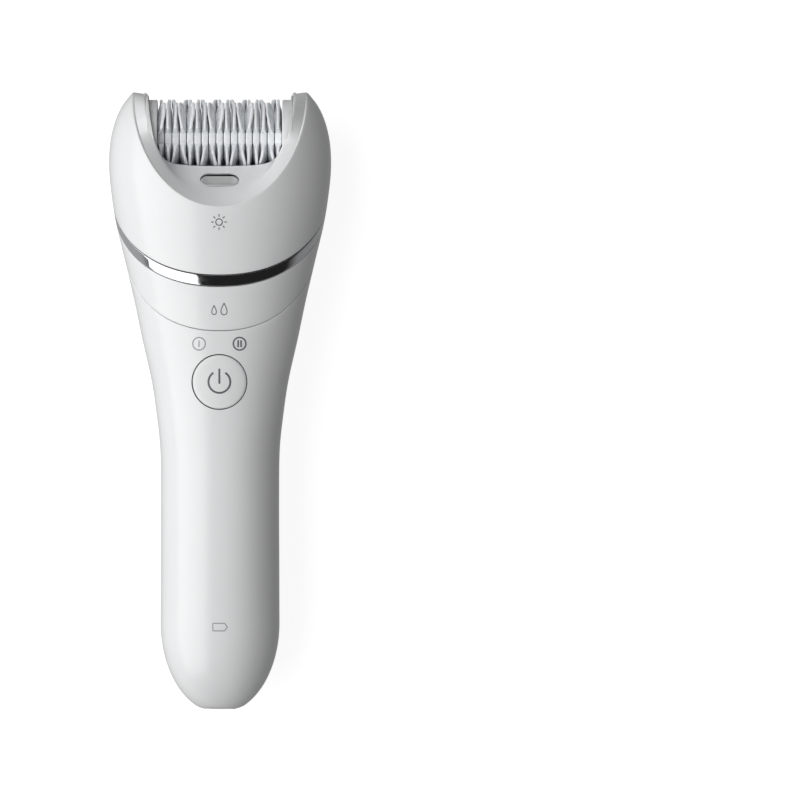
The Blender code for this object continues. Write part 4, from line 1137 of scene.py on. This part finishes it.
def make_light_sign():
    sun = [ring_line((0.0, SUN_H), SUN_RADIUS, SUN_LINE)]
    for turn in range(0, 360, 45):
        along = math.radians(turn)
        ray = [(reach * math.cos(along), SUN_H + reach * math.sin(along)) for reach in SUN_RAY]
        sun.append(ribbon(line(*ray, steps=3), SUN_LINE))
    mesh_piece("light_sign", merged(sun), "head", (), "ink")


def make_water_sign():
    drops = [ribbon(drop_outline((x, WATER_H + lift), size), WATER_LINE, closed=True)
             for x, lift, size in WATER_DROPS]
    mesh_piece("water_sign", merged(drops), "handle", (), "ink")


def make_battery_sign():
    """The outline of a cell whose right end comes to a blunt point."""
    left, right, tip = BATTERY_X
    bottom, top = BATTERY_H - BATTERY_HALF, BATTERY_H + BATTERY_HALF
    corners = [(left, bottom), (right, bottom), (tip, BATTERY_H), (right, top), (left, top)]
    path = [point for ends in zip(corners, corners[1:] + corners[:1]) for point in line(*ends)]
    outline = [point for point, following in zip(path, path[1:]) if point != following]
    mesh_piece("battery_sign", ribbon(outline, BATTERY_LINE, closed=True), "handle", (), "pale_ink")


def make_marks():
    """The printed signs: power, the two speeds, the light, water-safe use and the battery."""
    make_power_sign()
    make_speed_signs()
    make_light_sign()
    make_water_sign()
    make_battery_sign()


# -------------------- carried-over pieces, stage and camera


def dress_frame_nodes():
    """Gives every CAD node that still shows, or shows once the head is off, its own finish."""
    slots = {}
    for part in frame["record"]["subparts"]:
        slots[part["node"]] = part["material_slot"]
    for name, node in frame["nodes"].items():
        look = LOOKS[NODE_LOOKS.get(name, SLOT_LOOKS[slots[name]])]
        node.data.materials.clear()
        node.data.materials.append(look)


def area_light(name, at, size, watts, aim):
    light = bpy.data.lights.new(name, "AREA")
    light.shape = "RECTANGLE"
    light.size, light.size_y = size
    light.energy = watts
    lamp = bpy.data.objects.new(name, light)
    lamp.location = at
    lamp.rotation_euler = (Vector(aim) - Vector(at)).to_track_quat("-Z", "Y").to_euler()
    bpy.context.scene.collection.objects.link(lamp)


def make_floor():
    """A smooth pale sweep, bright enough to read as white under the object."""
    look = Look("pale floor")
    look.tint(look.noise(scale=3.0, detail=2.0, roughness=0.4), FLOOR_DIM, FLOOR_PALE)
    look.set(Roughness=0.7, Emission_Strength=FLOOR_GLOW, Emission_Color=(1.0, 1.0, 1.0, 1.0))
    bm = bmesh.new()
    square = ((-1, -1), (1, -1), (1, 1), (-1, 1))
    bm.faces.new([bm.verts.new((x * FLOOR_REACH, y * FLOOR_REACH, 0.0)) for x, y in square])
    floor = object_of("floor", bm)
    floor.data.materials.append(look.material)
    floor.visible_diffuse = False
    floor.visible_glossy = False


def make_world():
    """White to the camera, an even fill on rough surfaces, and a dark room with pale walls in reflections."""
    world = bpy.data.worlds.new("studio")
    bpy.context.scene.world = world
    world.use_nodes = True
    tree = world.node_tree
    background = tree.nodes["Background"]
    path = tree.nodes.new("ShaderNodeLightPath")
    coordinates = tree.nodes.new("ShaderNodeTexCoord")
    split = tree.nodes.new("ShaderNodeSeparateXYZ")
    tree.links.new(coordinates.outputs["Generated"], split.inputs["Vector"])

    def share(value, start, end):
        node = tree.nodes.new("ShaderNodeMapRange")
        node.inputs["From Min"].default_value = start
        node.inputs["From Max"].default_value = end
        tree.links.new(value, node.inputs["Value"])
        return node.outputs["Result"]

    def mixed(factor, first, second):
        node = tree.nodes.new("ShaderNodeMix")
        node.data_type = "RGBA"
        tree.links.new(factor, node.inputs["Factor"])
        sockets = [socket for socket in node.inputs if socket.type == "RGBA"]
        for socket, colour in zip(sockets, (first, second)):
            if isinstance(colour, tuple):
                socket.default_value = (*colour, 1.0)
            else:
                tree.links.new(colour, socket)
        return [socket for socket in node.outputs if socket.type == "RGBA"][0]

    walls = mixed(share(split.outputs["X"], *WALL_TURN), REFLECTED_RIGHT, REFLECTED_LEFT)
    room = mixed(share(split.outputs["Z"], *ZENITH_TURN), walls, REFLECTED_ZENITH)
    lit = mixed(path.outputs["Is Glossy Ray"], FILL, room)
    tree.links.new(mixed(path.outputs["Is Camera Ray"], lit, BACKDROP), background.inputs["Color"])
    background.inputs["Strength"].default_value = 1.0


def make_stage():
    make_floor()
    make_world()
    area_light("key", KEY_AT, KEY_SIZE, KEY_WATTS, KEY_AIM)
    camera = bpy.data.cameras.new("camera")
    camera.sensor_width = 36.0
    camera.lens = camera.sensor_width * (CAMERA_HEIGHT - REST_HEIGHT * MM) / VIEW_WIDTH
    camera.clip_end = 20.0
    eye = bpy.data.objects.new("camera", camera)
    eye.location = (CAMERA_X, CAMERA_Y, CAMERA_HEIGHT)
    bpy.context.scene.collection.objects.link(eye)
    bpy.context.scene.camera = eye
    bpy.context.scene.view_settings.view_transform = "Standard"


def main():
    dress_frame_nodes()
    make_handle()
    make_buttons()
    make_head()
    make_drum()
    make_marks()
    make_stage()


main()
